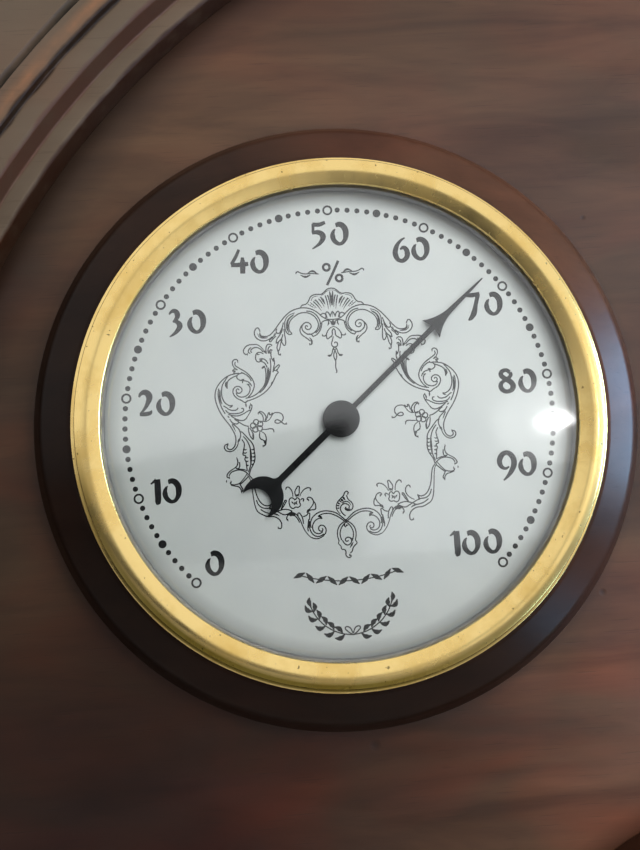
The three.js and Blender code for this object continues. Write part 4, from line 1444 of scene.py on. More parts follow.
@dataclass
class Scale:
    """The printed graduations of one dial."""

    instrument: Instrument
    low: int
    high: int
    numeral: float
    places: tuple[Pair, ...] = ()
    start: float = 225
    sweep: float = 270
    circle: float = 29.24
    numeral_circle: float = 25.4
    ring: float = 0.7
    ring_line: float = 0.26
    five: float = 0.55
    unit: float = 0.36
    ink: float = 0.03
    weight: float = 1.15
    sign: str = ""
    sign_place: Pair = (0.1, 20.35)

    def angle(self, reading: float) -> float:
        """Angle of a reading."""
        return self.start - self.sweep * (reading - self.low) / (self.high - self.low)

    def spot(self, reading: float) -> Vector:
        """Place of a reading on the circle of graduations, at the dial's face, in metres."""
        x, z = self.instrument.centre()
        _, face = back_and_front(self.instrument.node("dial"))
        a = math.radians(self.angle(reading))
        return Vector((x + self.circle * math.cos(a), -face, z + self.circle * math.sin(a))) * MM

    def repeat(self, piece: Piece, readings: int, times: int) -> None:
        """Copy a mark round the circle of graduations.

        Args:
            piece: the mark.
            readings: how many units lie between the copies.
            times: how many copies are made.
        """
        whole = -math.radians(self.sweep * readings * times / (self.high - self.low))
        Bench.repeat_round(piece, self.instrument.centre(), times, whole)

    def dot(self, reading: float, radius: float) -> Piece:
        """Print one dot.

        Args:
            reading: where it stands on the scale.
            radius: its radius.

        Returns:
            The dot.
        """
        Bench.clear()
        bpy.ops.mesh.primitive_circle_add(vertices=20, radius=radius * MM, fill_type="NGON",
                                          location=self.spot(reading), rotation=(math.pi / 2, 0, 0))
        piece = bpy.context.object
        Bench.settle(piece)
        with Bench.editing():
            bpy.ops.mesh.extrude_region_move(TRANSFORM_OT_translate={"value": (0, -self.ink * MM, 0)})
        return piece

    def marks(self) -> list[Piece]:
        """Print the rings at the tens and the dots between them.

        Returns:
            The three sets of marks.
        """
        span = self.high - self.low
        units = self.dot(self.low + 1, self.unit)
        self.repeat(units, 1, 3)
        self.repeat(units, 5, span // 5 - 1)
        fives = self.dot(self.low + 5, self.five)
        self.repeat(fives, 10, span // 10 - 1)
        spot = self.spot(self.low) / MM
        face = -spot.y
        inner = self.ring - self.ring_line
        profile = [(inner, face), (self.ring, face), (self.ring, face + self.ink),
                   (inner, face + self.ink)]
        tens = Bench.turn("tens", profile, (spot.x, spot.z), 28)
        self.repeat(tens, 10, span // 10)
        return [units, fives, tens]

    def numerals(self) -> list[Stroke]:
        """Strokes of the numbers at the tens.

        Returns:
            The strokes, from the middle of the dial.
        """
        strokes = []
        for index, reading in enumerate(range(self.low, self.high + 1, 10)):
            a = math.radians(self.angle(reading))
            place = (self.numeral_circle * math.cos(a), self.numeral_circle * math.sin(a))
            if self.places:
                place = self.places[index]
            strokes += self.number(str(reading), *place)
        return strokes + self.number(self.sign, *self.sign_place)

    def number(self, text: str, x: float, y: float) -> list[Stroke]:
        """Strokes of one number.

        Args:
            text: its digits.
            x: its middle across.
            y: its middle up.

        Returns:
            The strokes.
        """
        widths = {"1": 0.48, "-": 0.55}
        gaps = [widths.get(sign, 0.84) for sign in text]
        left = -(sum(gaps) - 0.14) / 2
        strokes = []
        for sign, gap in zip(text, gaps):
            strokes += [[(x + self.numeral * (left + px), y + self.numeral * (py - 0.5),
                          self.numeral * self.weight * width / 2) for px, py, width in stroke]
                        for stroke in GLYPHS[sign]]
            left += gap
        return strokes

    def build(self) -> list[Piece]:
        """Print the scale on its dial.

        Returns:
            The printed scale, as one piece.
        """
        x, z = self.instrument.centre()
        _, face = back_and_front(self.instrument.node("dial"))
        figures = Bench.draw("numerals", self.numerals(), 0.1)
        Bench.stand_up(figures, x, face, z)
        piece = Bench.join([figures, *self.marks()], self.instrument.node("scale"))
        Bench.close_up(piece)
        Bench.smooth(piece, CREASE)
        return [fit(piece, Finish.INK, "case")]


class Pen(Enum):
    """Half widths of a pen stroke at its start, middle and end, and of the ball that ends it."""

    EVEN = (0.08, 0.085, 0.08, 0)
    FADE = (0.09, 0.085, 0.03, 0)
    SWELL = (0.03, 0.12, 0.03, 0)
    BALL = (0.06, 0.085, 0.085, 0.19)
    HAIR = (0.04, 0.055, 0.03, 0)
    HEAVY = (0.07, 0.16, 0.05, 0)
    LEAF = (0.06, 0.34, 0.06, 0)

    def line(self, *values: float) -> "Line":
        """One stroke of this pen through points given as x, y, x, y and so on."""
        return Line(self, tuple(zip(values[::2], values[1::2])))


@dataclass(frozen=True)
class Line:
    """One stroke of the dial's ornament."""

    pen: Pen
    points: tuple[Pair, ...]

    def strokes(self) -> list[Stroke]:
        """Give the points their widths.

        Returns:
            The stroke, and the ball at its end if it has one.
        """
        start, middle, end, ball = self.pen.value
        last = len(self.points) - 1
        stroke = []
        for index, (x, y) in enumerate(self.points):
            share = 2 * index / last
            half = start + (middle - start) * share
            if share > 1:
                half = middle + (end - middle) * (share - 1)
            stroke.append((x, y, half))
        if not ball:
            return [stroke]
        x, y = self.points[-1]
        return [stroke, [(x - 0.06, y, ball * 0.7), (x, y, ball), (x + 0.06, y, ball * 0.7)]]

    def mirrored(self, axis: float) -> "Line":
        """The same stroke on the other side of the axis."""
        return Line(self.pen, tuple((2 * axis - x, y) for x, y in self.points))


even, fade, swell, ball, hair, heavy, leaf = (pen.line for pen in Pen)

SHELL = [
    even(-4.6, 15.7, -4.3, 16.05, -3.85, 16.15, -3.5, 16.45, -3.25, 16.9, -3, 17.25, -2.6, 17.42,
         -2.1, 17.46, -1.7, 17.42, -1.4, 17.55, -1.05, 17.85, -.75, 18.1, -.4, 18.21, -.2, 18.23),
    hair(-3.05, 16.6, -2.85, 17, -2.5, 17.18, -2.05, 17.22),
    hair(-1.6, 17.25, -1.2, 17.5, -.9, 17.78, -.55, 17.94, -.2, 17.97),
    fade(-2.75, 16.5, -2.25, 15.95, -1.7, 15.15),
    fade(-2.45, 16.75, -2.05, 16.2, -1.6, 15.5),
    fade(-2, 16.85, -1.6, 16.3, -1.25, 15.6),
    heavy(-1.75, 17.1, -1.4, 16.6, -1.15, 16),
    fade(-1.05, 17.25, -.85, 16.4, -.7, 15.3),
    fade(-.72, 17.3, -.52, 16.4, -.43, 15.55),
    heavy(-.42, 17.8, -.32, 16.9, -.28, 15.8),
    hair(-3.55, 16.2, -3.15, 15.9, -2.75, 15.6),
    hair(-3.2, 16.4, -2.8, 16.05, -2.35, 15.55),
    hair(-3, 16.2, -3.2, 15.9),
    hair(-2.75, 16, -2.95, 15.7),
    hair(-2.5, 15.8, -2.65, 15.5),
    hair(-2.6, 16.7, -2.4, 16.5),
    even(-1.9, 14.58, -1.4, 14.75, -1.12, 14.4, -1.2, 14.1),
    even(-1, 14.1, -1.02, 14.92, -.8, 14.85, -.5, 14.2),
    even(-.55, 14.3, -.35, 14.75, -.2, 15),
    hair(-.2, 14.8, -.2, 14.2),
    even(-1.95, 14.55, -1.5, 14.2, -1.05, 13.95, -.6, 13.87, -.2, 13.85),
]

PENDANT = [
    even(-1.9, 13.3, -1.65, 13.6, -1.25, 13.75, -.8, 13.72, -.5, 13.6),
    swell(-.85, 13.7, -.82, 13.35, -1, 13),
    swell(-.5, 13.7, -.45, 13.4, -.35, 13),
    heavy(-.25, 13.75, -.24, 13.4, -.22, 13),
    ball(-.2, 12.87, -.6, 12.7, -1, 12.3, -1.2, 11.9, -1.3, 11.68, -1.6, 11.6, -1.8, 11.72),
    even(-1.25, 11.75, -1.1, 11.2, -.8, 11.36, -.52, 11.55, -.42, 11.75, -.4, 12.25, -.2, 12.6),
    even(-.35, 9.9, -.5, 9.6, -.65, 9.1, -.85, 8.9, -1.2, 8.86),
    heavy(-1.25, 8.86, -1, 8.84, -.7, 8.8),
    even(-.2, 9.5, -.36, 9.1, -.4, 8.7, -.22, 8.1),
]

DROP = [
    even(-.3, 11.5, -.45, 10.95, -.6, 10.45, -.48, 10.12, -.2, 10, .08, 10.08, .22, 10.38, .08, 10.65,
         -.12, 10.66, -.2, 10.5),
    fade(-.2, 10, -.35, 9.85, -.2, 9.6, -.05, 9.85, -.2, 10),
    even(-.2, 8.3, -.18, 7.8, -.24, 7.3, -.15, 6.8, -.1, 6.6, -.25, 6.4),
]

VOLUTE = [
    even(-10.2, 12.1, -9.7, 12, -9.1, 12.1, -8.6, 12.5, -8, 13.2, -7.4, 13.95, -6.6, 14.8, -5.8, 15.35,
         -4.9, 15.63, -4, 15.68, -3.25, 15.5, -2.65, 15.2, -2.15, 14.8, -1.9, 14.55),
    even(-3.8, 15.22, -3.2, 15.1, -2.7, 14.82, -2.3, 14.35, -2.02, 13.75, -2, 13.2, -2.2, 12.6,
         -2.7, 12.08),
    even(-5.3, 14.65, -4.9, 14.88, -4.4, 15, -3.7, 14.96, -3.1, 14.7, -2.6, 14.25, -2.32, 13.7,
         -2.25, 13.15, -2.45, 12.6, -2.9, 12.15, -3.5, 11.95, -4.1, 12.18, -4.5, 12.7, -4.48, 13.2,
         -4.15, 13.55, -3.75, 13.62, -3.4, 13.42, -3.25, 13.1, -3.4, 12.75, -3.72, 12.62, -4, 12.78,
         -4.04, 13.06, -3.86, 13.18, -3.72, 13),
    even(-1.75, 13.4, -1.84, 13, -2.02, 12.5, -2.45, 11.95, -2.75, 11.75, -3.1, 11.62),
    even(-4.3, 13.45, -4.7, 13, -4.82, 12.5, -4.58, 11.95, -4.1, 11.55, -3.7, 11.2, -3.5, 11),
    ball(-3.6, 11.5, -3.35, 11.25, -3.25, 10.85, -3.38, 10.55, -3.6, 10.58),
    even(-3.95, 11.98, -3.35, 11.95, -3.05, 11.62),
    swell(-3.5, 11.4, -3.34, 11.1, -3.38, 10.6),
    ball(-5.4, 15.05, -6.2, 14.75, -6.7, 14.2, -6.87, 13.4, -6.8, 12.7, -6.6, 12.3, -6.25, 12.08,
         -5.98, 12.2),
    even(-5.3, 14.65, -5.9, 14.2, -6.25, 13.6, -6.32, 13, -6.2, 12.5, -6, 12.3),
    heavy(-5.6, 14.75, -6.3, 14.2, -6.55, 13.4, -6.5, 12.7, -6.35, 12.3),
    hair(-5.5, 14.85, -6.2, 14.4, -6.6, 13.7, -6.7, 12.9),
]

UPTURN = [
    even(-10.3, 12.7, -10.45, 13.1, -10.65, 13.25, -10.95, 13, -11.1, 12.55, -10.95, 12, -10.5, 11.58,
         -9.9, 11.4, -9.2, 11.55, -8.7, 11.9),
    heavy(-10.35, 12.6, -10.3, 12.2, -9.9, 11.85, -9.3, 11.8),
    hair(-10.65, 12.5, -10.5, 12.05, -10, 11.7),
    even(-8, 13, -8.08, 12.5, -7.78, 12.32, -7.42, 12.75, -7.12, 13.35),
    even(-8.05, 12.45, -8.45, 12, -8.85, 11.65, -9.05, 11.25, -8.6, 11.6, -8.15, 12),
    hair(-8.35, 12.4, -8.5, 11.95, -8.75, 11.6),
    even(-7.02, 13.8, -7.2, 13.2, -7.3, 12.65, -7.7, 12, -8.1, 11.45, -8.2, 10.95),
    even(-7.02, 12.9, -6.96, 12.2, -6.9, 11.5, -6.9, 10.9, -7.05, 10.62, -7.35, 10.95, -7.5, 11.3),
    even(-8.2, 10.95, -7.75, 11.25, -7.35, 11.72, -7.2, 12.2),
    ball(-7.5, 11.3, -7.6, 10.8, -7.75, 10.2, -7.97, 9.72, -7.88, 9.38, -7.68, 9.38),
    even(-7.85, 11.1, -8.1, 10.45, -8.05, 10, -7.95, 9.7),
    swell(-7.35, 11.6, -7.4, 11.3, -7.5, 11),
]

CREST = [
    ball(-9.9, 10.05, -10.3, 10.55, -10.8, 10.93, -11.4, 10.97, -12, 10.93, -12.5, 10.6, -12.72, 10.1,
         -12.5, 9.7, -12.2, 9.68),
    even(-10, 9.85, -10.5, 10.38, -11, 10.55, -11.5, 10.42, -11.72, 10.1, -11.6, 9.85),
    even(-11.65, 10.6, -11.98, 10.3, -12.05, 9.95, -11.8, 9.76),
    even(-9.62, 9.7, -9.62, 10.4, -9.45, 10.8, -9.1, 10.9, -8.85, 10.78, -8.8, 10.6),
    even(-9.35, 9.6, -9.3, 10.35, -9, 10.65),
    even(-9.15, 9.6, -9.15, 10, -8.95, 10.12, -8.75, 10),
    heavy(-9.95, 10.05, -9.75, 9.85, -9.6, 9.6),
    even(-8.95, 10, -9, 9.5, -8.95, 9, -8.75, 8.55),
    even(-8.65, 9, -8.58, 8.3, -8.7, 7.7, -8.86, 7),
    even(-8.86, 7.05, -8.65, 7.45, -8.3, 7.8, -7.95, 7.95, -8.15, 7.5, -8.3, 7.18, -8.1, 6.95),
    fade(-8.75, 7.5, -8.55, 7.2, -8.35, 7.4),
    swell(-8.7, 8.9, -8.75, 8.65, -8.62, 8.4),
    even(-8.1, 6.95, -8.4, 6.65, -8.7, 6.1, -9, 5.55, -9.4, 5, -9.9, 4.5, -10.6, 4, -11.4, 3.62,
         -12.2, 3.36, -12.75, 3.2),
    swell(-8.85, 5.75, -9.05, 5.6, -9.25, 5.35),
    even(-10, 9.6, -10.5, 9.85, -10.9, 9.75, -11.1, 9.3, -11.1, 8.9, -10.85, 8.56, -10.5, 8.6,
         -10.4, 8.85),
    fade(-10.9, 9.75, -10.75, 9.55, -10.5, 9.6),
    even(-10.65, 8.9, -10.2, 8.95, -9.8, 8.75, -9.55, 8.4, -9.48, 8.2),
    even(-10.4, 8.6, -10, 8.4, -9.72, 8, -9.6, 7.65),
    swell(-10.6, 8.7, -10.35, 8.75, -10.15, 8.8),
    heavy(-9.9, 7.95, -10.1, 7.8, -10.4, 7.65),
    even(-10.3, 7.6, -10, 7.75, -9.86, 7.3, -9.85, 6.5, -9.95, 5.8, -10.2, 5.2, -10.7, 4.62, -11.3, 4.12,
         -12.1, 3.78, -12.8, 3.65),
    even(-9.15, 8.95, -9.1, 8.2, -9.15, 7.4, -9.26, 6.7, -9.5, 6, -9.85, 5.3, -10.3, 4.75, -10.8, 4.3),
    heavy(-9.62, 7.6, -9.6, 6.7, -9.78, 5.8, -10.15, 5.05),
    heavy(-9.42, 7.7, -9.4, 6.9, -9.6, 6.1, -9.95, 5.3),
    fade(-10, 5.1, -10.4, 4.65, -10.9, 4.3),
]

SCROLL = [
    even(-12.5, 3.35, -12.8, 3.1, -13.4, 3.42, -14, 3.77, -14.35, 4.25, -14.45, 4.7, -14.25, 5.15,
         -13.8, 5.35, -13.4, 5.2, -13.2, 4.85, -13.35, 4.52, -13.7, 4.4, -13.96, 4.6, -13.95, 4.9,
         -13.75, 5, -13.58, 4.82),
    even(-14.02, 4.5, -13.85, 4.08, -13.4, 3.86, -12.9, 3.9, -12.5, 4.1, -12.2, 4.5, -12.1, 5,
         -12.25, 5.4, -12.5, 5.6),
    even(-13.1, 5.75, -13.02, 6.05, -12.65, 6.02, -12.25, 5.85, -12, 5.55, -11.88, 5.25),
    swell(-12.5, 5.6, -12.3, 5.5, -12.1, 5.6),
    even(-12.82, 6.3, -13.2, 6.14, -13.6, 6.28, -13.82, 6.6, -13.7, 6.9, -13.2, 7.12, -12.8, 7.1),
    swell(-13.1, 6, -13.15, 6.15, -12.82, 6.3),
    ball(-14.05, 7.75, -14.15, 8.05, -14.3, 8.4, -14.25, 8.85, -13.92, 9.06, -13.6, 8.92, -13.58, 8.75),
    even(-13.92, 8.72, -13.97, 8.3, -13.6, 7.95, -13, 7.55, -12.4, 7.1, -11.9, 6.5, -11.6, 5.9,
         -11.5, 5.4, -11.65, 4.8, -12, 4.2, -12.45, 3.75),
    even(-13.2, 7.25, -12.6, 6.92, -12.15, 6.5, -11.85, 5.95),
    even(-14.05, 7.75, -14.32, 7.5, -14, 7.45, -14.2, 7.2, -13.8, 7.12),
    swell(-14, 7.95, -13.85, 7.7, -13.6, 7.6),
    even(-13.5, 7.15, -14.3, 7.05, -15, 6.85, -15.7, 6.4, -16.3, 5.8, -16.72, 5.1, -16.9, 4.3,
         -16.85, 3.5, -16.6, 2.6, -16.2, 1.7, -15.7, .9, -15.2, .2, -14.8, -.5, -14.5, -1.2, -14.4, -1.8,
         -14.5, -2.5, -14.8, -3, -15.2, -3.2, -15.5, -3.1, -15.65, -2.8, -15.5, -2.5),
    ball(-14.05, -1.9, -14.15, -2.5, -14.5, -3.1, -15, -3.43, -15.5, -3.43, -15.88, -3.2, -16, -2.8,
         -15.8, -2.5, -15.5, -2.45),
    even(-13.75, 6.85, -14.4, 6.6, -14.9, 6.3, -15.12, 6, -15.2, 5.5, -15.2, 5.1),
    heavy(-15.3, 6.1, -15.35, 5.6, -15.22, 5.15),
    even(-15, 6.85, -15.4, 6.3, -15.8, 5.7, -15.97, 5, -16, 4.3, -15.87, 3.7, -15.6, 3.2, -15.2, 2.87,
         -14.9, 2.75, -14.6, 2.82),
    fade(-14.6, 2.82, -14.8, 2.6, -15.1, 2.5),
    even(-16.35, 5.2, -16.47, 4.5, -16.4, 3.7, -16.2, 2.9, -15.92, 2.2, -15.65, 1.7),
    heavy(-16.2, 5, -16.25, 4.3, -16.2, 3.6, -16, 3),
    even(-15.85, 2.8, -15.4, 2.5, -15.1, 2.25, -14.6, 2.1, -14.1, 2.15, -13.85, 2.42),
    even(-15.6, 2.2, -15.2, 1.8, -14.6, 1.65, -14, 1.65, -13.5, 1.75, -13.15, 2, -13.2, 2.28,
         -13.45, 2.3),
    even(-15.25, 1.6, -14.7, 1.42, -14.2, 1.32, -13.6, 1.4, -13, 1.65, -12.5, 1.92, -12.2, 2),
    ball(-12.7, 1.1, -12.3, 1.7, -12.05, 2.2, -12, 2.65, -12.15, 2.78),
    swell(-12.3, 2.05, -12.3, 2.4, -12.2, 2.75),
    swell(-12.75, 2.4, -12.78, 2.75, -12.8, 3.1),
    swell(-15.35, 1.4, -15.25, 1.28, -15.1, 1.15),
    even(-14.9, 1.4, -14.5, 1.07, -14, .8, -13.4, .64, -12.95, .8, -12.7, 1.1),
    even(-15.1, .95, -14.8, .5, -14.4, .25, -13.95, .35, -14, .75),
    even(-14.45, .9, -13.9, .5, -13.5, .2, -13, -.08, -12.55, -.2),
    even(-14.9, .6, -14.6, .2, -14.2, -.2, -13.9, -.55, -13.75, -.95, -13.75, -1.45, -13.95, -2),
    fade(-14.8, .2, -14.55, -.35, -14.35, -.8),
    heavy(-13.85, -1.75, -13.98, -2, -14.2, -2.3),
]

SPRIG = [
    ball(-11.05, .2, -10.62, .4, -10.55, .9, -10.75, 1.38, -11.05, 1.58, -11.2, 1.5),
    even(-10.3, .4, -10.15, .9, -10.38, 1.4, -10.7, 1.68, -11.1, 1.74),
    ball(-10.6, .35, -10.1, .35, -9.7, .6, -9.4, 1, -9.1, 1.38, -8.6, 1.45, -8.1, 1.3, -7.84, .9,
         -7.92, .4, -8.3, .06, -8.7, 0, -8.98, .2, -8.8, .45, -8.4, .38, -8, .03, -7.7, -.18,
         -7.42, -.12),
    even(-10, .75, -9.9, 1.2, -9.7, 1.5, -9.62, 1.2, -9.2, 1.45),
    heavy(-10.35, .35, -10.2, .6, -10.15, .95),
    ball(-10.9, -.75, -10.2, -.75, -9.6, -.7, -9.28, -.82, -9.2, -1.08),
    even(-11.1, -1.05, -11.18, -1.6, -11.05, -2, -10.7, -2.2, -10.52, -2.6),
    ball(-10.9, -1, -10.5, -1.3, -10.3, -1.8, -10.34, -2.4, -10.5, -2.9, -10.78, -3),
    heavy(-10.5, -2.2, -10.45, -2.55, -10.52, -2.9),
    even(-12.62, -.3, -12.6, -.9, -12.4, -1.6, -12.05, -2.05),
    even(-12.05, -2.05, -11.98, -1.45, -12.2, -.85, -12.45, -.4),
    swell(-12.1, -1, -12.05, -1.5, -12.1, -2),
]

POD = [
    even(-13.9, -.75, -13.5, -.95, -13.1, -1.4, -12.7, -1.9, -12.3, -2.4, -12.05, -3, -12, -3.6,
         -11.95, -4.3, -12.02, -4.9, -12.3, -5.5, -12.6, -6, -12.75, -6.4, -12.85, -6.75),
    even(-13.4, -1.5, -13, -2, -12.7, -2.6, -12.52, -3.3, -12.45, -4.2, -12.5, -5, -12.65, -5.6,
         -12.95, -6.4),
    even(-13.6, -1.9, -13.3, -2.5, -13.35, -3, -13.5, -3.6, -13.53, -4, -13.2, -4.2, -13.33, -4.6,
         -13.2, -5, -13.15, -5.6, -13.08, -6.2),
    heavy(-12.55, -3.2, -12.5, -4.3, -12.6, -5.3),
    fade(-13.4, -3.3, -13.2, -3.35, -13, -3.25),
    fade(-13.45, -3.75, -13.2, -3.8, -13, -3.65),
    fade(-13.2, -4.4, -13, -4.45, -12.85, -4.35),
    fade(-13.15, -4.85, -13, -4.95, -12.85, -4.85),
    fade(-13.1, -5.4, -12.98, -5.5, -12.85, -5.4),
    fade(-12.05, -3.3, -12.25, -3.4, -12.4, -3.3),
    fade(-12, -3.8, -12.2, -3.9, -12.38, -3.8),
    fade(-12, -4.3, -12.2, -4.4, -12.38, -4.3),
    fade(-12.05, -4.8, -12.22, -4.9, -12.4, -4.8),
    fade(-12.25, -5.3, -12.4, -5.4, -12.5, -5.3),
]

BRACKET = [
    ball(-13.1, -6.2, -13.6, -5.98, -14.2, -5.88, -14.6, -5.7, -14.42, -5.4, -14.3, -4.9, -14.4, -4.45),
    even(-14.1, -4.95, -14.08, -5.5, -14.25, -5.9),
    ball(-14.45, -5.5, -14.9, -5.8, -15.4, -6.1, -15.78, -6.5, -15.84, -6.88, -15.55, -6.98),
    even(-15.6, -6.75, -15.3, -6.32, -14.8, -6.1, -14.2, -6.02, -13.6, -6.17, -13.2, -6.45, -12.9, -6.75),
    heavy(-14.4, -5.75, -14.2, -5.95, -14, -6),
    ball(-13.15, -6.6, -13.4, -6.95, -13.8, -7.42, -14.2, -7.8, -14.7, -7.95, -15.2, -7.95, -15.45, -7.75,
         -15.35, -7.55),
    even(-12.95, -6.95, -13.4, -7.35, -13.85, -7.75, -14.25, -8),
    ball(-15.4, -8, -14.9, -8.15, -14.42, -8.27, -14.1, -8.6, -14.02, -9),
    even(-14.2, -7.9, -14, -8.3, -13.82, -8.7, -13.95, -9),
    ball(-15.94, -7.46, -15.96, -7.45, -15.95, -7.45),
]

STEM = [
    ball(-13.1, -6.8, -12.8, -7.3, -12.65, -8, -12.55, -9, -12.45, -10, -12.3, -11, -12, -11.75,
         -11.4, -12.2, -10.7, -12.5, -10, -12.55, -9.4, -12.8, -9, -13.25, -8.88, -13.8, -9.05, -14.22,
         -9.38, -14.1),
    even(-12.9, -6.8, -12.5, -7.3, -12.3, -8, -12.15, -9, -11.85, -10, -11.5, -10.6, -11, -11,
         -10.5, -11.05, -10.1, -10.85),
    even(-12.1, -10.2, -11.8, -10.9, -11.3, -11.3, -10.7, -11.4, -10.2, -11.4),
    swell(-10.1, -10.85, -10.3, -11.2, -10.4, -11.6),
    even(-11.6, -11.5, -11, -11.9, -10.4, -12.1, -9.9, -12.15, -9.5, -12),
    even(-9.3, -12, -9.9, -11.65, -10.4, -11.45),
    even(-7.35, -12, -7.8, -11.8, -8.4, -11.7, -9, -11.8, -9.4, -11.95),
    even(-7.35, -12, -7.7, -12.2, -8.4, -12.42, -8.9, -12.2, -9.4, -11.9),
    even(-8.9, -11.8, -8.5, -11.3, -8.25, -10.9, -8.1, -10.5, -8.45, -10.85, -8.7, -11.35, -8.9, -11.8),
    ball(-9.7, -11.5, -9.1, -11.15, -8.7, -10.7, -8.55, -10.2, -8.7, -9.7, -9, -9.5, -9.22, -9.7),
    swell(-10, -12.2, -9.5, -12.3, -9.1, -12.55),
]

LOWER_SPRIG = [
    even(-7.7, -10.95, -7.68, -10.5, -7.42, -10.22, -7.1, -10.3, -6.9, -10.5, -6.6, -10.25, -6.3, -10.5,
         -6.3, -10.9, -6.2, -11.25, -6.5, -11.52, -6.9, -11.5, -7.2, -11.66, -7.55, -11.45, -7.7, -10.95),
    swell(-7.4, -10.7, -7.25, -10.85, -7.1, -11.1),
    swell(-6.95, -10.75, -6.95, -11, -7, -11.25),
    swell(-6.6, -10.65, -6.75, -10.9, -6.6, -11.2),
    ball(-7.15, -10.1, -7.2, -9.5, -7.48, -8.92, -7.82, -8.72, -8.05, -8.95),
    even(-6.7, -10.15, -6.85, -9.5, -6.62, -9, -6.3, -8.7, -6.25, -9.2, -6.3, -9.7, -6.5, -10.1),
    heavy(-6.7, -9.85, -6.5, -9.9, -6.35, -9.8),
    ball(-6.25, -10.1, -5.9, -9.5, -5.42, -9.1, -4.95, -9, -4.68, -9.18, -4.76, -9.32),
    ball(-6.15, -10.6, -5.88, -10.4, -5.72, -10.55, -5.8, -10.72),
    ball(-5.42, -12.35, -5.3, -12.1, -4.9, -11.75, -4.6, -11.4, -4.42, -11, -4.52, -10.6, -4.82, -10.32,
         -5.15, -10.32, -5.25, -10.52, -5.05, -10.65),
    even(-5.4, -12.3, -4.8, -12, -4.25, -11.93, -4.15, -11.5, -4.25, -11.1, -4.42, -10.85),
    heavy(-5.4, -12.3, -5.2, -12.05, -4.9, -11.85),
]

ARCH = [
    ball(-5, -15.7, -5.4, -15.3, -5.8, -14.7, -6.1, -14, -6.3, -13.4, -6.6, -12.8, -6.95, -12.38,
         -7.4, -12.2, -7.8, -12.36, -8.1, -12.7, -8.15, -13.05, -8, -13.18),
    even(-5, -15.7, -4.3, -15.9, -3.7, -15.76, -3.2, -15.4, -2.95, -14.9, -3.05, -14.45, -3.4, -14.15,
         -3.75, -14.2, -3.95, -14.52, -3.82, -14.85, -3.5, -14.9, -3.38, -14.7, -3.5, -14.56),
    heavy(-7.85, -12.55, -7.35, -12.35, -6.95, -12.55),
    even(-7.7, -12.62, -7.15, -12.6, -6.75, -12.98, -6.45, -13.6),
    even(-6.62, -12.75, -6.55, -12.3, -6.2, -12.6, -6, -13.15, -5.95, -13.8),
    even(-5.95, -12.85, -5.5, -12.7, -5.1, -12.4, -5.05, -12.8, -5.1, -13.3),
    even(-5.2, -13.2, -5.3, -13.8, -5.4, -14.4, -5.35, -14.85),
    even(-5.1, -13.5, -5.15, -14.3, -4.95, -15, -4.6, -15.42, -4.1, -15.6, -3.6, -15.5, -3.3, -15.3),
    heavy(-5.2, -13.3, -5.25, -13.8, -5.3, -14.4),
    even(-4.95, -14.4, -5, -13.8, -4.8, -13.2, -4.4, -12.75, -3.8, -12.4, -3, -12.25, -2.2, -12.35,
         -1.5, -12.6, -1, -12.95, -.6, -13.32, -.1, -13.75, .3, -14, .72, -14.4, 1, -15, 1.05, -15.7,
         .9, -16.4),
    even(-3.95, -12.92, -3.5, -12.7, -2.9, -12.6, -2.3, -12.65, -1.7, -12.87, -1.1, -13.22, -.65, -13.58,
         -.1, -13.98, .3, -14.4, .6, -14.95, .7, -15.6, .55, -16.3),
    even(-3.38, -13.28, -3.75, -13.2, -4.2, -13.37, -4.6, -13.8, -4.75, -14.3, -4.6, -14.9, -4.2, -15.2,
         -3.8, -15.22, -3.4, -15.02),
    heavy(-3.95, -12.92, -3.6, -13, -3.38, -13.28),
]

FINIAL = [
    ball(-.9, -12.8, -1.15, -12.5, -1.35, -12.1, -1.35, -11.6, -1.1, -11.1, -.7, -10.7, -.3, -10.3,
         -.1, -9.92, .18, -9.8, .35, -9.98, .28, -10.15),
    even(.08, -10.3, .3, -10.9, .7, -11.3, .88, -11.75, .75, -12.2, .4, -12.4, 0, -12.35, -.2, -12.12,
         -.05, -11.88),
    even(-.2, -13.1, -.6, -12.72, -.83, -12.2, -.7, -11.7, -.3, -11.46, .1, -11.52, .38, -11.82,
         .3, -12.1),
    fade(-.55, -11.35, 0, -11.15, .4, -11.36, .62, -11.75),
    heavy(.5, -12.2, .1, -12.25, -.1, -12.05),
    swell(-1.32, -11.6, -1.15, -11.66, -.9, -11.72),
    swell(-1.32, -12, -1.12, -12, -.92, -12),
    swell(-1.2, -11.25, -1, -11.38, -.8, -11.5),
    swell(-1, -10.95, -.8, -11.1, -.6, -11.3),
    heavy(-.75, -10.75, -.55, -10.95, -.35, -11.15),
    heavy(-.45, -10.5, -.3, -10.7, -.12, -11),
    swell(-.2, -13.9, -.45, -14.3, -.3, -14.65),
    swell(-.3, -14.65, -.12, -14.35, .1, -14.4),
    even(-.85, -16.3, -.55, -16.8, -.2, -17, .18, -16.86, .4, -16.5, .35, -16.2, .1, -16, -.25, -16.02,
         -.45, -16.3, -.25, -16.5, 0, -16.4),
    heavy(.2, -16.1, .45, -16.3, .4, -16.6),
    ball(-1.28, -16.35, -1.4, -16.7, -1.1, -17.1, -1, -17.48, -.62, -17.6, -.46, -17.9, -.5, -18.3,
         -.2, -18.66, .08, -18.66, .18, -18.42, 0, -18.35),
    even(.9, -16.4, 1.1, -16.8, .8, -17.1, .55, -17.4, .35, -17.9, .1, -18.1),
    swell(.65, -16.6, .35, -17.05, .1, -17.4),
]


LEAVES = [
    heavy(-1.95, 20.35, -2.6, 20.75, -3.3, 20.5),
    heavy(-2.9, 20.25, -3.6, 20, -4.3, 20.3),
    even(-1.75, 20.3, -2.8, 20.42, -3.9, 20.45, -4.6, 20.75),
    ball(-4.3, 20.55, -4.65, 20.8, -4.9, 20.6),
]

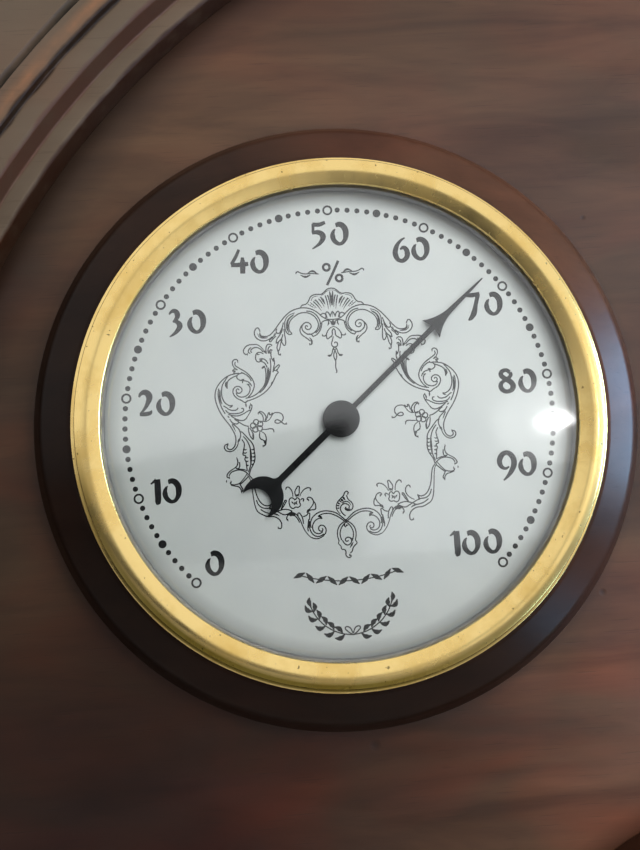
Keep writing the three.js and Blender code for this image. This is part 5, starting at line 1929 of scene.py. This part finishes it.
LAUREL = [
    even(-.2, -28.9, -1.8, -28.6, -3.4, -27.8, -4.7, -26.6, -5.6, -25, -5.8, -24.3),
    leaf(-1.3, -28.75, -1.95, -29.25, -2.7, -29.2),
    leaf(-2.65, -28.25, -3.4, -28.75, -4.1, -28.5),
    leaf(-3.8, -27.5, -4.6, -27.8, -5.2, -27.4),
    leaf(-4.75, -26.5, -5.55, -26.6, -6.05, -26),
    leaf(-5.4, -25.5, -6.1, -25.3, -6.4, -24.6),
    leaf(-1.6, -28.6, -2, -28, -2.7, -27.7),
    leaf(-2.7, -28.1, -3, -27.4, -3.6, -27),
    leaf(-3.7, -27.4, -3.8, -26.7, -4.3, -26.2),
    leaf(-4.6, -26.6, -4.55, -25.9, -4.9, -25.3),
    leaf(-5.3, -25.6, -5.1, -24.9, -5.3, -24.3),
    leaf(-5.6, -24.9, -5.85, -24.2, -5.75, -23.6),
    even(-.2, -28.9, -.9, -28.4, -1.2, -27.9, -.7, -27.85, -.2, -28.7),
]


@dataclass
class Garland:
    """Leaves strung along an arc, low on every dial."""

    circle: float = 21.75
    middle: float = 269.2
    span: float = 35.5
    leaves: int = 10
    leaf: float = 0.85
    slant: float = 50

    def lines(self) -> list[Line]:
        """Draw the leaves and the stem between them.

        Returns:
            The strokes.
        """
        drawn = []
        step = self.span / (self.leaves - 1)
        for index in range(self.leaves):
            turn = math.radians(self.middle - self.span / 2 + step * index)
            x, y = self.circle * math.cos(turn), self.circle * math.sin(turn)
            lean = turn + math.radians(self.slant if index % 2 else -self.slant)
            dx, dy = self.leaf * math.cos(lean), self.leaf * math.sin(lean)
            drawn.append(leaf(x - dx, y - dy, x, y, x + dx, y + dy))
        first = self.middle - self.span / 2
        drawn.append(Line(Pen.EVEN, tuple(arc(0, 0, self.circle, first - 1, first + self.span + 1, 12))))
        return drawn


@dataclass
class Ornament:
    """The scrolled cartouche, the garland and the laurel printed on every dial."""

    axis: float = -0.2
    flower: Pair = (-11.45, -0.2)
    petals: int = 5
    petal_circle: float = 0.52
    petal: float = 0.36
    eye: float = 0.14
    ink: float = 0.16

    def blossom(self) -> list[Line]:
        """Draw the round petals of the upper flower.

        Returns:
            The petals and the eye.
        """
        x, y = self.flower
        lines = []
        for index in range(self.petals):
            a = math.radians(100 + 360 * index / self.petals)
            middle = (x + self.petal_circle * math.cos(a), y + self.petal_circle * math.sin(a))
            lines.append(Line(Pen.EVEN, tuple(arc(*middle, self.petal, 0, 360, 8))))
        lines.append(Line(Pen.EVEN, tuple(arc(x, y, self.eye, 0, 360, 6))))
        return lines

    def build(self) -> list[Piece]:
        """Draw the cartouche once and print it on every dial.

        Returns:
            The prints.
        """
        half = [*SHELL, *PENDANT, *VOLUTE, *UPTURN, *CREST, *SCROLL, *SPRIG, *POD, *BRACKET,
                *STEM, *LOWER_SPRIG, *ARCH, *LEAVES, *LAUREL, *self.blossom()]
        lines = half + [line.mirrored(self.axis) for line in half] + DROP + FINIAL
        lines += Garland().lines()
        strokes = [stroke for line in lines for stroke in line.strokes()]
        piece = Bench.draw("ornament", strokes, self.ink)
        x, z = Instrument.HYGROMETER.centre()
        _, face = back_and_front("hygrometer_dial")
        Bench.stand_up(piece, x, face, z)
        Bench.smooth(piece, CREASE)
        return set_on_every_dial(piece, "ornament", Finish.INK, printed=True)


@dataclass
class DialFace:
    """The dial plate."""

    hole: float = 2.2

    def build(self) -> list[Piece]:
        """Turn the dial plate and set it on every instrument.

        Returns:
            The dial plates.
        """
        back, front = back_and_front("hygrometer_dial")
        outer = reach("hygrometer_dial")
        corners = [(self.hole, back, 0), (outer, back, 0.1), (outer, front, 0.1), (self.hole, front, 0)]
        piece = Bench.turn("dial", rounded(corners, 3), Instrument.HYGROMETER.centre())
        return set_on_every_dial(piece, "dial", Finish.DIAL)


@dataclass
class Needle:
    """A dial's pointer with an arrow head and a crescent tail, and the cap over its hub."""

    tip: float = 27.6
    tip_half: float = 0.1
    neck: float = 21.4
    neck_half: float = 0.36
    barb: float = 17.5
    barb_half: float = 1.65
    shaft_half: float = 0.36
    tail_half: float = 0.45
    hub: float = 2.5
    moon: float = 14.8
    moon_radius: float = 2.75
    bite_radius: float = 2.22
    bite_shift: float = 1.58
    fillet: float = 0.9
    cap_dome: float = 0.22
    cap_sweep: float = 1.2
    cap_edge: float = 0.1
    angles: Triple = (41.4, 66.857, 81.9)

    def outline(self) -> Profile:
        """Outline of the pointer, its tip to the right.

        Returns:
            The outline.
        """
        side = [(self.tip, self.tip_half), (self.neck, self.neck_half)]
        for step in range(1, 9):
            t = step / 8
            flare = self.neck + (self.barb - self.neck) * t
            side.append((flare, self.neck_half + (self.barb_half - self.neck_half) * t ** 2))
        side.append((self.barb + 0.35, self.shaft_half + 0.1))
        side.append((self.barb + 0.3, self.shaft_half))
        lean = math.degrees(math.asin(self.shaft_half / self.hub))
        tail_lean = math.degrees(math.asin(self.tail_half / self.hub))
        side += arc(0, 0, self.hub, lean, 180 - tail_lean, 32)
        across = self.moon_radius ** 2 - self.bite_radius ** 2 + self.bite_shift ** 2
        across /= 2 * self.bite_shift
        horn = 180 - math.degrees(math.acos(across / self.moon_radius))
        rise = self.tail_half + self.fillet
        join = math.asin(rise / (self.moon_radius + self.fillet))
        run = rise / math.tan(join)
        side += arc(run - self.moon, rise, self.fillet, 270, 180 + math.degrees(join), 8)
        side += arc(-self.moon, 0, self.moon_radius, math.degrees(join), horn, 24)[1:]
        high = math.sqrt(self.moon_radius ** 2 - across ** 2)
        turn = math.degrees(math.atan2(high, self.bite_shift - across))
        side += arc(-self.moon - self.bite_shift, 0, self.bite_radius, turn, 0, 16)[1:]
        return side + [(x, -y) for x, y in side[-2::-1]]

    def build(self) -> list[Piece]:
        """Cut the three pointers and turn their caps.

        Returns:
            The pieces.
        """
        pieces = []
        for instrument, angle in zip(Instrument, self.angles):
            x, z = instrument.centre()
            body = instrument.node("pointer")
            back, front = back_and_front(instrument.node("pointer"))
            piece = Bench.sheet(instrument.node("pointer_fine"), self.outline(), front - back, 0.06)
            Bench.stand_up(piece, x, (back + front) / 2, z, angle)
            Bench.smooth(piece, CREASE)
            pieces.append(fit(piece, Finish.BLACK, body, instrument.node("pointer")))
            cap = self.cap(instrument)
            pieces.append(fit(cap, Finish.BLACK, body, instrument.node("pointer_cap")))
        return pieces

    def cap(self, instrument: Instrument) -> Piece:
        """Turn the cap over a hub.

        Args:
            instrument: the instrument.

        Returns:
            The cap.
        """
        back, front = back_and_front(instrument.node("pointer_cap"))
        sag = self.cap_dome / (1 - math.cos(self.cap_sweep))
        dome = [(self.hub * math.sin(a), front - sag * (1 - math.cos(a)))
                for a in (step * self.cap_sweep / 12 for step in range(13))]
        profile = [(0, back), (self.hub, back), (self.hub, back + self.cap_edge), *dome[::-1]]
        return Bench.turn(instrument.node("pointer_cap_fine"), profile, instrument.centre(), 96)


@dataclass
class SetHand:
    """The barometer's brass set hand and the knob that turns it through the glass."""

    angle: float = 65.7
    tip: float = 21
    tip_half: float = 0.12
    half: float = 0.6
    hub: float = 1.9
    lobe: float = 1.05
    tail: float = 8
    stem: float = 1
    waist: float = 2.2
    head: float = 2.85
    knob_height: float = 3.2
    ridges: int = 30
    ridge: Triple = (0.28, 0.95, 0.3)
    ridge_edge: float = 0.1

    def build(self) -> list[Piece]:
        """Cut the hand and turn the knob.

        Returns:
            The two pieces.
        """
        body = "barometer_set_hand"
        return [fit(self.hand(), Finish.BRASS, body, "barometer_set_hand"),
                fit(self.knob(), Finish.BRASS, body, "barometer_set_knob")]

    def hand(self) -> Piece:
        """Cut the hand from sheet, tapered to its tip and with a round lobe at its tail.

        Returns:
            The hand.
        """
        back, front = back_and_front("barometer_set_hand")
        x, z = Instrument.BAROMETER.centre()
        lean = math.degrees(math.asin(self.half / self.hub))
        neck = math.degrees(math.asin(0.5 * self.half / self.lobe))
        side = [(self.tip, self.tip_half), *arc(0, 0, self.hub, lean, 180 - lean, 24),
                *arc(self.lobe - self.tail, 0, self.lobe, neck, 180, 16)]
        outline = side + [(across, -up) for across, up in side[-2::-1]]
        piece = Bench.sheet("barometer_set_hand_fine", outline, front - back, 0.05)
        Bench.stand_up(piece, x, (back + front) / 2, z, self.angle)
        Bench.smooth(piece, CREASE)
        return piece

    def knob(self) -> Piece:
        """Turn the knob and set fine ridges round its head.

        Returns:
            The knob.
        """
        back, front = back_and_front("barometer_set_knob")
        x, z = Instrument.BAROMETER.centre()
        seat = front - self.knob_height
        corners = [
            (0, back, 0),
            (self.stem, back, 0.1),
            (self.stem, seat, 0.1),
            (self.waist, seat, 0.15),
            (self.waist, seat + 0.9, 0.5),
            (self.head, seat + 1.5, 0.2),
            (self.head, front - 0.65, 0.2),
            (self.waist, front - 0.1, 0.5),
            (0, front, 0),
        ]
        piece = Bench.turn("barometer_set_knob_fine", rounded(corners), (x, z), 96)
        Bench.clear()
        spot = Vector((x + self.head, -(seat + front + 0.85) / 2, z)) * MM
        bpy.ops.mesh.primitive_cube_add(size=MM, location=spot, scale=self.ridge)
        ridge = bpy.context.object
        Bench.settle(ridge)
        with Bench.editing():
            bpy.ops.mesh.bevel(offset=self.ridge_edge * MM, segments=2)
        whole = 2 * math.pi * (self.ridges - 1) / self.ridges
        Bench.repeat_round(ridge, (x, z), self.ridges - 1, whole)
        piece = Bench.join([piece, ridge], piece.name)
        Bench.close_up(piece)
        Bench.smooth(piece, CREASE)
        return piece


@dataclass
class Adjusters:
    """The slotted bosses and the screw at the back, by which the pointers are set."""

    boss: float = 3
    boss_length: float = 1.9
    head_length: float = 1.3
    slot_half: float = 0.45
    slot_depth: float = 0.7
    disc: float = 5.5
    disc_thickness: float = 1.1
    hub: float = 2.4
    hub_length: float = 3
    hub_bore: float = 1
    arm_half: float = 1.5
    post_place: float = 12.375
    post: float = 0.9
    shank: float = 1.6

    def build(self) -> list[Piece]:
        """Turn the two bosses and the screw.

        Returns:
            The pieces.
        """
        pieces = []
        for instrument in (Instrument.HYGROMETER, Instrument.THERMOMETER):
            node = instrument.node("adjuster")
            pieces.append(fit(self.carrier(instrument), Finish.BRASS, node, node))
        node = "barometer_adjusting_screw"
        pieces.append(fit(self.screw(), Finish.BRASS, node, node))
        return pieces

    def slotted(self, name: str, corners: list[Corner], instrument: Instrument, back: float) -> Piece:
        """Turn a boss and cut the slot in its end.

        Args:
            name: name of the piece.
            corners: corners of its profile.
            instrument: the instrument that it belongs to.
            back: level of its slotted end.

        Returns:
            The boss.
        """
        x, z = instrument.centre()
        piece = Bench.turn(name, rounded(corners, 3), (x, z), 64)
        slot = Bench.sheet("slot", bar(self.boss + 1, self.slot_half), 2 * self.slot_depth, 0)
        Bench.stand_up(slot, x, back, z)
        Bench.cut(piece, slot)
        Bench.smooth(piece)
        return piece

    def carrier(self, instrument: Instrument) -> Piece:
        """Turn a boss, and put on the arm and the post that hold the coil's outer end.

        Args:
            instrument: the instrument.

        Returns:
            The boss with its arm and post.
        """
        node = instrument.node("adjuster")
        back, front = back_and_front(node)
        x, z = instrument.centre()
        floor = back + self.boss_length
        top = floor + self.disc_thickness
        corners = [
            (0, back, 0),
            (self.boss, back, 0.2),
            (self.boss, floor, 0.1),
            (self.disc, floor, 0.2),
            (self.disc, top, 0.2),
            (self.hub, top, 0.1),
            (self.hub, top + self.hub_length, 0.2),
            (self.hub_bore, top + self.hub_length, 0.1),
            (self.hub_bore, top, 0),
            (0, top, 0),
        ]
        piece = self.slotted(f"{node}_fine", corners, instrument, back)
        end = self.post_place
        outline = [(self.hub, -self.arm_half), *arc(end, 0, self.arm_half, -90, 90, 12),
                   (self.hub, self.arm_half)]
        arm = Bench.sheet("arm", outline, self.disc_thickness, 0.1)
        Bench.stand_up(arm, x, (floor + top) / 2, z, 180)
        corners = [(0, floor, 0), (self.post, floor, 0), (self.post, front, 0.2), (0, front, 0)]
        post = Bench.turn("post", rounded(corners, 3), (x - end, z), 32)
        return Bench.join([piece, arm, post], piece.name)

    def screw(self) -> Piece:
        """Turn the barometer's adjusting screw.

        Returns:
            The screw.
        """
        node = "barometer_adjusting_screw"
        back, front = back_and_front(node)
        neck = back + self.head_length
        corners = [(0, back, 0), (self.boss, back, 0.2), (self.boss, neck, 0.1),
                   (self.shank, neck, 0.1), (self.shank, front, 0.1), (0, front, 0)]
        return self.slotted(f"{node}_fine", corners, Instrument.BAROMETER, back)


@dataclass
class Chain:
    """The fine chain that the barometer's rocker draws off the arbor's drum."""

    links: int = 18
    length: float = 1.5
    bend: float = 0.2
    wire: float = 0.1
    still: float = 0.4

    def link(self) -> Piece:
        """Bend one link, drawn out along the chain.

        Returns:
            The link, its left end at the origin.
        """
        Bench.clear()
        half = self.bend + self.wire
        bpy.ops.mesh.primitive_torus_add(major_radius=self.bend * MM, minor_radius=self.wire * MM,
                                         major_segments=16, minor_segments=6, location=(half * MM, 0, 0))
        piece = bpy.context.object
        Bench.settle(piece)
        for point in piece.data.vertices:
            point.select = point.co.x > (half + self.wire / 10) * MM
        for line in (*piece.data.edges, *piece.data.polygons):
            line.select = False
        bpy.ops.object.mode_set(mode="EDIT")
        bpy.ops.transform.translate(value=((self.length - 2 * half) * MM, 0, 0))
        bpy.ops.object.mode_set(mode="OBJECT")
        return piece

    def build(self) -> list[Piece]:
        """String the links, each turned from the last, from the drum to the rocker's arm.

        Returns:
            The chain.
        """
        low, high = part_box("barometer_chain")
        pitch = ((high.x - low.x) - self.length * MM) / (self.links - 1)
        first = self.link()
        mate = Bench.copy(first, "mate", Vector((pitch, 0, 0)))
        mate.rotation_euler = (math.pi / 2, 0, 0)
        Bench.settle(mate)
        piece = Bench.join([first, mate], "barometer_chain_fine")
        Bench.apply(piece, "ARRAY", use_relative_offset=False, use_constant_offset=True,
                    constant_offset_displace=(2 * pitch, 0, 0), count=self.links // 2)
        middle = (low + high) / 2
        piece.location = (low.x, middle.y, middle.z)
        Bench.settle(piece)
        Bench.smooth(piece, 60)
        piece.data.materials.append(Finish.STEEL.material())
        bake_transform(piece)
        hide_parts("barometer_chain")
        return [piece]


@dataclass
class Works:
    """The solids that stay as they are and only get a better finish."""

    def build(self) -> list[Piece]:
        """Dress the solids.

        Returns:
            The dressed solids.
        """
        dressed = []
        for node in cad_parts.values():
            if node.hide_render:
                continue
            slot = node.material_slots[0]
            slot.material = Finish[slot.material.name.split(".")[0].upper()].material()
            dressed.append(node)
        return dressed


@dataclass
class Studio:
    """The floor, the light and the camera."""

    floor: float = -146
    place: Triple = (-64.16, -115.9, 27.83)
    aim: Triple = (0.02948, 0.99760, 0.06260)
    right: Triple = (0.99771, -0.02556, -0.06256)
    focal: float = 640
    height: float = 850
    sensor: float = 36
    floor_size: float = 1200
    sky: Triple = (0.1, -0.3, 0.95)

    def build(self) -> None:
        """Set up the studio."""
        self.lay_floor()
        self.light()
        self.stand_camera()

    def lay_floor(self) -> None:
        """Lay the pale floor under the case."""
        Bench.clear()
        bpy.ops.mesh.primitive_plane_add(size=self.floor_size * MM, location=(0, 0, self.floor * MM))
        floor = bpy.context.object
        floor.name = "floor"
        graph = Graph("pale_floor")
        cloud = graph.noise((400, 400, 400), 4, 0.6)
        pale = graph.mix(cloud, shade(228, 228, 226), shade(220, 220, 218))
        path = graph.add("ShaderNodeLightPath").outputs
        seen = graph.math("MAXIMUM", path["Is Camera Ray"], path["Is Glossy Ray"])
        seen = graph.math("MAXIMUM", seen, path["Is Transmission Ray"])
        graph.set(base_color=graph.mix(seen, shade(90, 86, 82), pale), roughness=0.9,
                  specular_ior_level=0.0, emission_color=pale,
                  emission_strength=graph.math("MULTIPLY_ADD", path["Is Camera Ray"], 0.25,
                                               graph.math("MULTIPLY", seen, 0.05)))
        graph.bump(graph.noise((2, 2, 2), 2), 0.01, 0.3)
        floor.data.materials.append(graph.owner)

    def light(self) -> None:
        """Light the case softly from the right and above, before a pale backdrop."""
        graph = Graph("studio", world=True)
        bpy.context.scene.world = graph.owner
        path = graph.add("ShaderNodeLightPath").outputs
        card = graph.math("MULTIPLY", self.slope(graph, (0.15, 0, -1), -0.07, -0.05),
                          self.slope(graph, (-1, 0, 0), -0.12, -0.06))
        backdrop = graph.choose(card, self.slope(graph, self.sky, -0.3, 0.1, 0.15, 1), 0.04)
        mirrored = graph.math("MAXIMUM", path["Is Glossy Ray"], path["Is Transmission Ray"])
        light = graph.choose(mirrored, self.slope(graph, self.sky, -0.15, 0.25, 0.12, 0.34), backdrop)
        graph.set(color=(0.97, 0.98, 1, 1), strength=graph.choose(path["Is Camera Ray"], light, 0.85))
        key = self.lamp("key", (0.012, -0.2, 0.106), (0.14, 0.14), 0.39)
        low_key = self.lamp("low_key", (0.03, -0.15, -0.045), (0.08, 0.08), 0.04, Instrument.BAROMETER)
        for lamp in (key, low_key):
            lamp.visible_glossy = False
        self.lamp("fill", (0.15, 0.75, 0.45), (0.7, 0.7), 3)
        for name, place, size, watts in (("window", (0.36, -0.13, 0.045), (0.14, 0.23), 3.6),
                                         ("door", (0.112, -0.099, -0.112), (0.06, 0.04), 0.06)):
            lamp = self.lamp(name, place, size, watts)
            lamp.data.color = (0.34, 0.64, 1)
            lamp.visible_diffuse = False
        for name, size, watts in (("glint", (0.055, 0.016), 0.1), ("glow", (0.2, 0.13), 0.06)):
            lamp = self.lamp(name, (0.303, -0.528, 0.05), size, watts)
            lamp.data.shape = "ELLIPSE"
            lamp.visible_diffuse = False

    @staticmethod
    def slope(graph: Graph, towards: Triple, *change: float) -> Socket:
        """A brightness of the world that changes towards one side.

        Args:
            graph: the world's nodes.
            towards: the side.
            *change: where the change starts and stops, as cosines, and the brightness before and after.

        Returns:
            The brightness.
        """
        side = graph.add("ShaderNodeVectorMath", operation="DOT_PRODUCT")
        graph.feed(side.inputs[0], graph.add("ShaderNodeTexCoord").outputs["Generated"])
        graph.feed(side.inputs[1], Vector(towards).normalized())
        return graph.spread(side.outputs["Value"], *change)

    @staticmethod
    def lamp(name: str, place: Triple, size: Pair,
             watts: float, dial: Instrument = Instrument.HYGROMETER) -> Piece:
        """Hang a rectangular lamp that faces a dial.

        Args:
            name: name of the lamp.
            place: where it hangs, in metres.
            size: its width and height.
            watts: its power.
            dial: the instrument whose dial it faces.

        Returns:
            The lamp.
        """
        lamp = bpy.data.lights.new(name, "AREA")
        lamp.shape = "RECTANGLE"
        lamp.size, lamp.size_y = size
        lamp.energy = watts
        holder = bpy.data.objects.new(name, lamp)
        bpy.context.scene.collection.objects.link(holder)
        x, z = dial.centre()
        away = Vector((x, -30, z)) * MM - Vector(place)
        holder.location = place
        holder.rotation_euler = away.to_track_quat("-Z", "Y").to_euler()
        return holder

    def stand_camera(self) -> None:
        """Stand the camera close in front of the first dial."""
        data = bpy.data.cameras.new("camera")
        data.sensor_width = self.sensor
        data.lens = self.sensor * self.focal / self.height
        data.clip_start = MM
        camera = bpy.data.objects.new("camera", data)
        bpy.context.scene.collection.objects.link(camera)
        back = -Vector(self.aim).normalized()
        right = Vector(self.right).normalized()
        up = back.cross(right)
        turned = Matrix((right, up, back)).transposed().to_4x4()
        camera.matrix_world = Matrix.Translation(Vector(self.place) * MM) @ turned
        bpy.context.scene.camera = camera
        bpy.context.scene.view_settings.view_transform = "Standard"


HYGROMETER_PLACES = (
    (-17.95, -18.22), (-24.0, -8.23), (-24.93, 3.61), (-20.19, 14.62), (-11.14, 22.51),
    (0.16, 25.87), (11.3, 23.14), (20.9, 14.82), (24.76, 3.81), (23.82, -7.59), (17.36, -17.75),
)


def main() -> None:
    """Build the weather station and its studio."""
    logging.basicConfig(level=logging.INFO, format="%(name)s: %(message)s")
    assemblies = [
        Case(),
        DialHousing(),
        DialFace(),
        Scale(Instrument.HYGROMETER, 0, 100, 3.5, HYGROMETER_PLACES, sign="%"),
        Scale(Instrument.THERMOMETER, -20, 50, 3.3, sign="°"),
        Scale(Instrument.BAROMETER, 960, 1060, 2.5),
        Ornament(),
        Needle(),
        SetHand(),
        Adjusters(),
        Chain(),
        Works(),
    ]
    for assembly in assemblies:
        for piece in assembly.build():
            LOG.info("%s: %d faces", piece.name, len(piece.data.polygons))
    Studio().build()


if __name__ == "__main__":
    main()
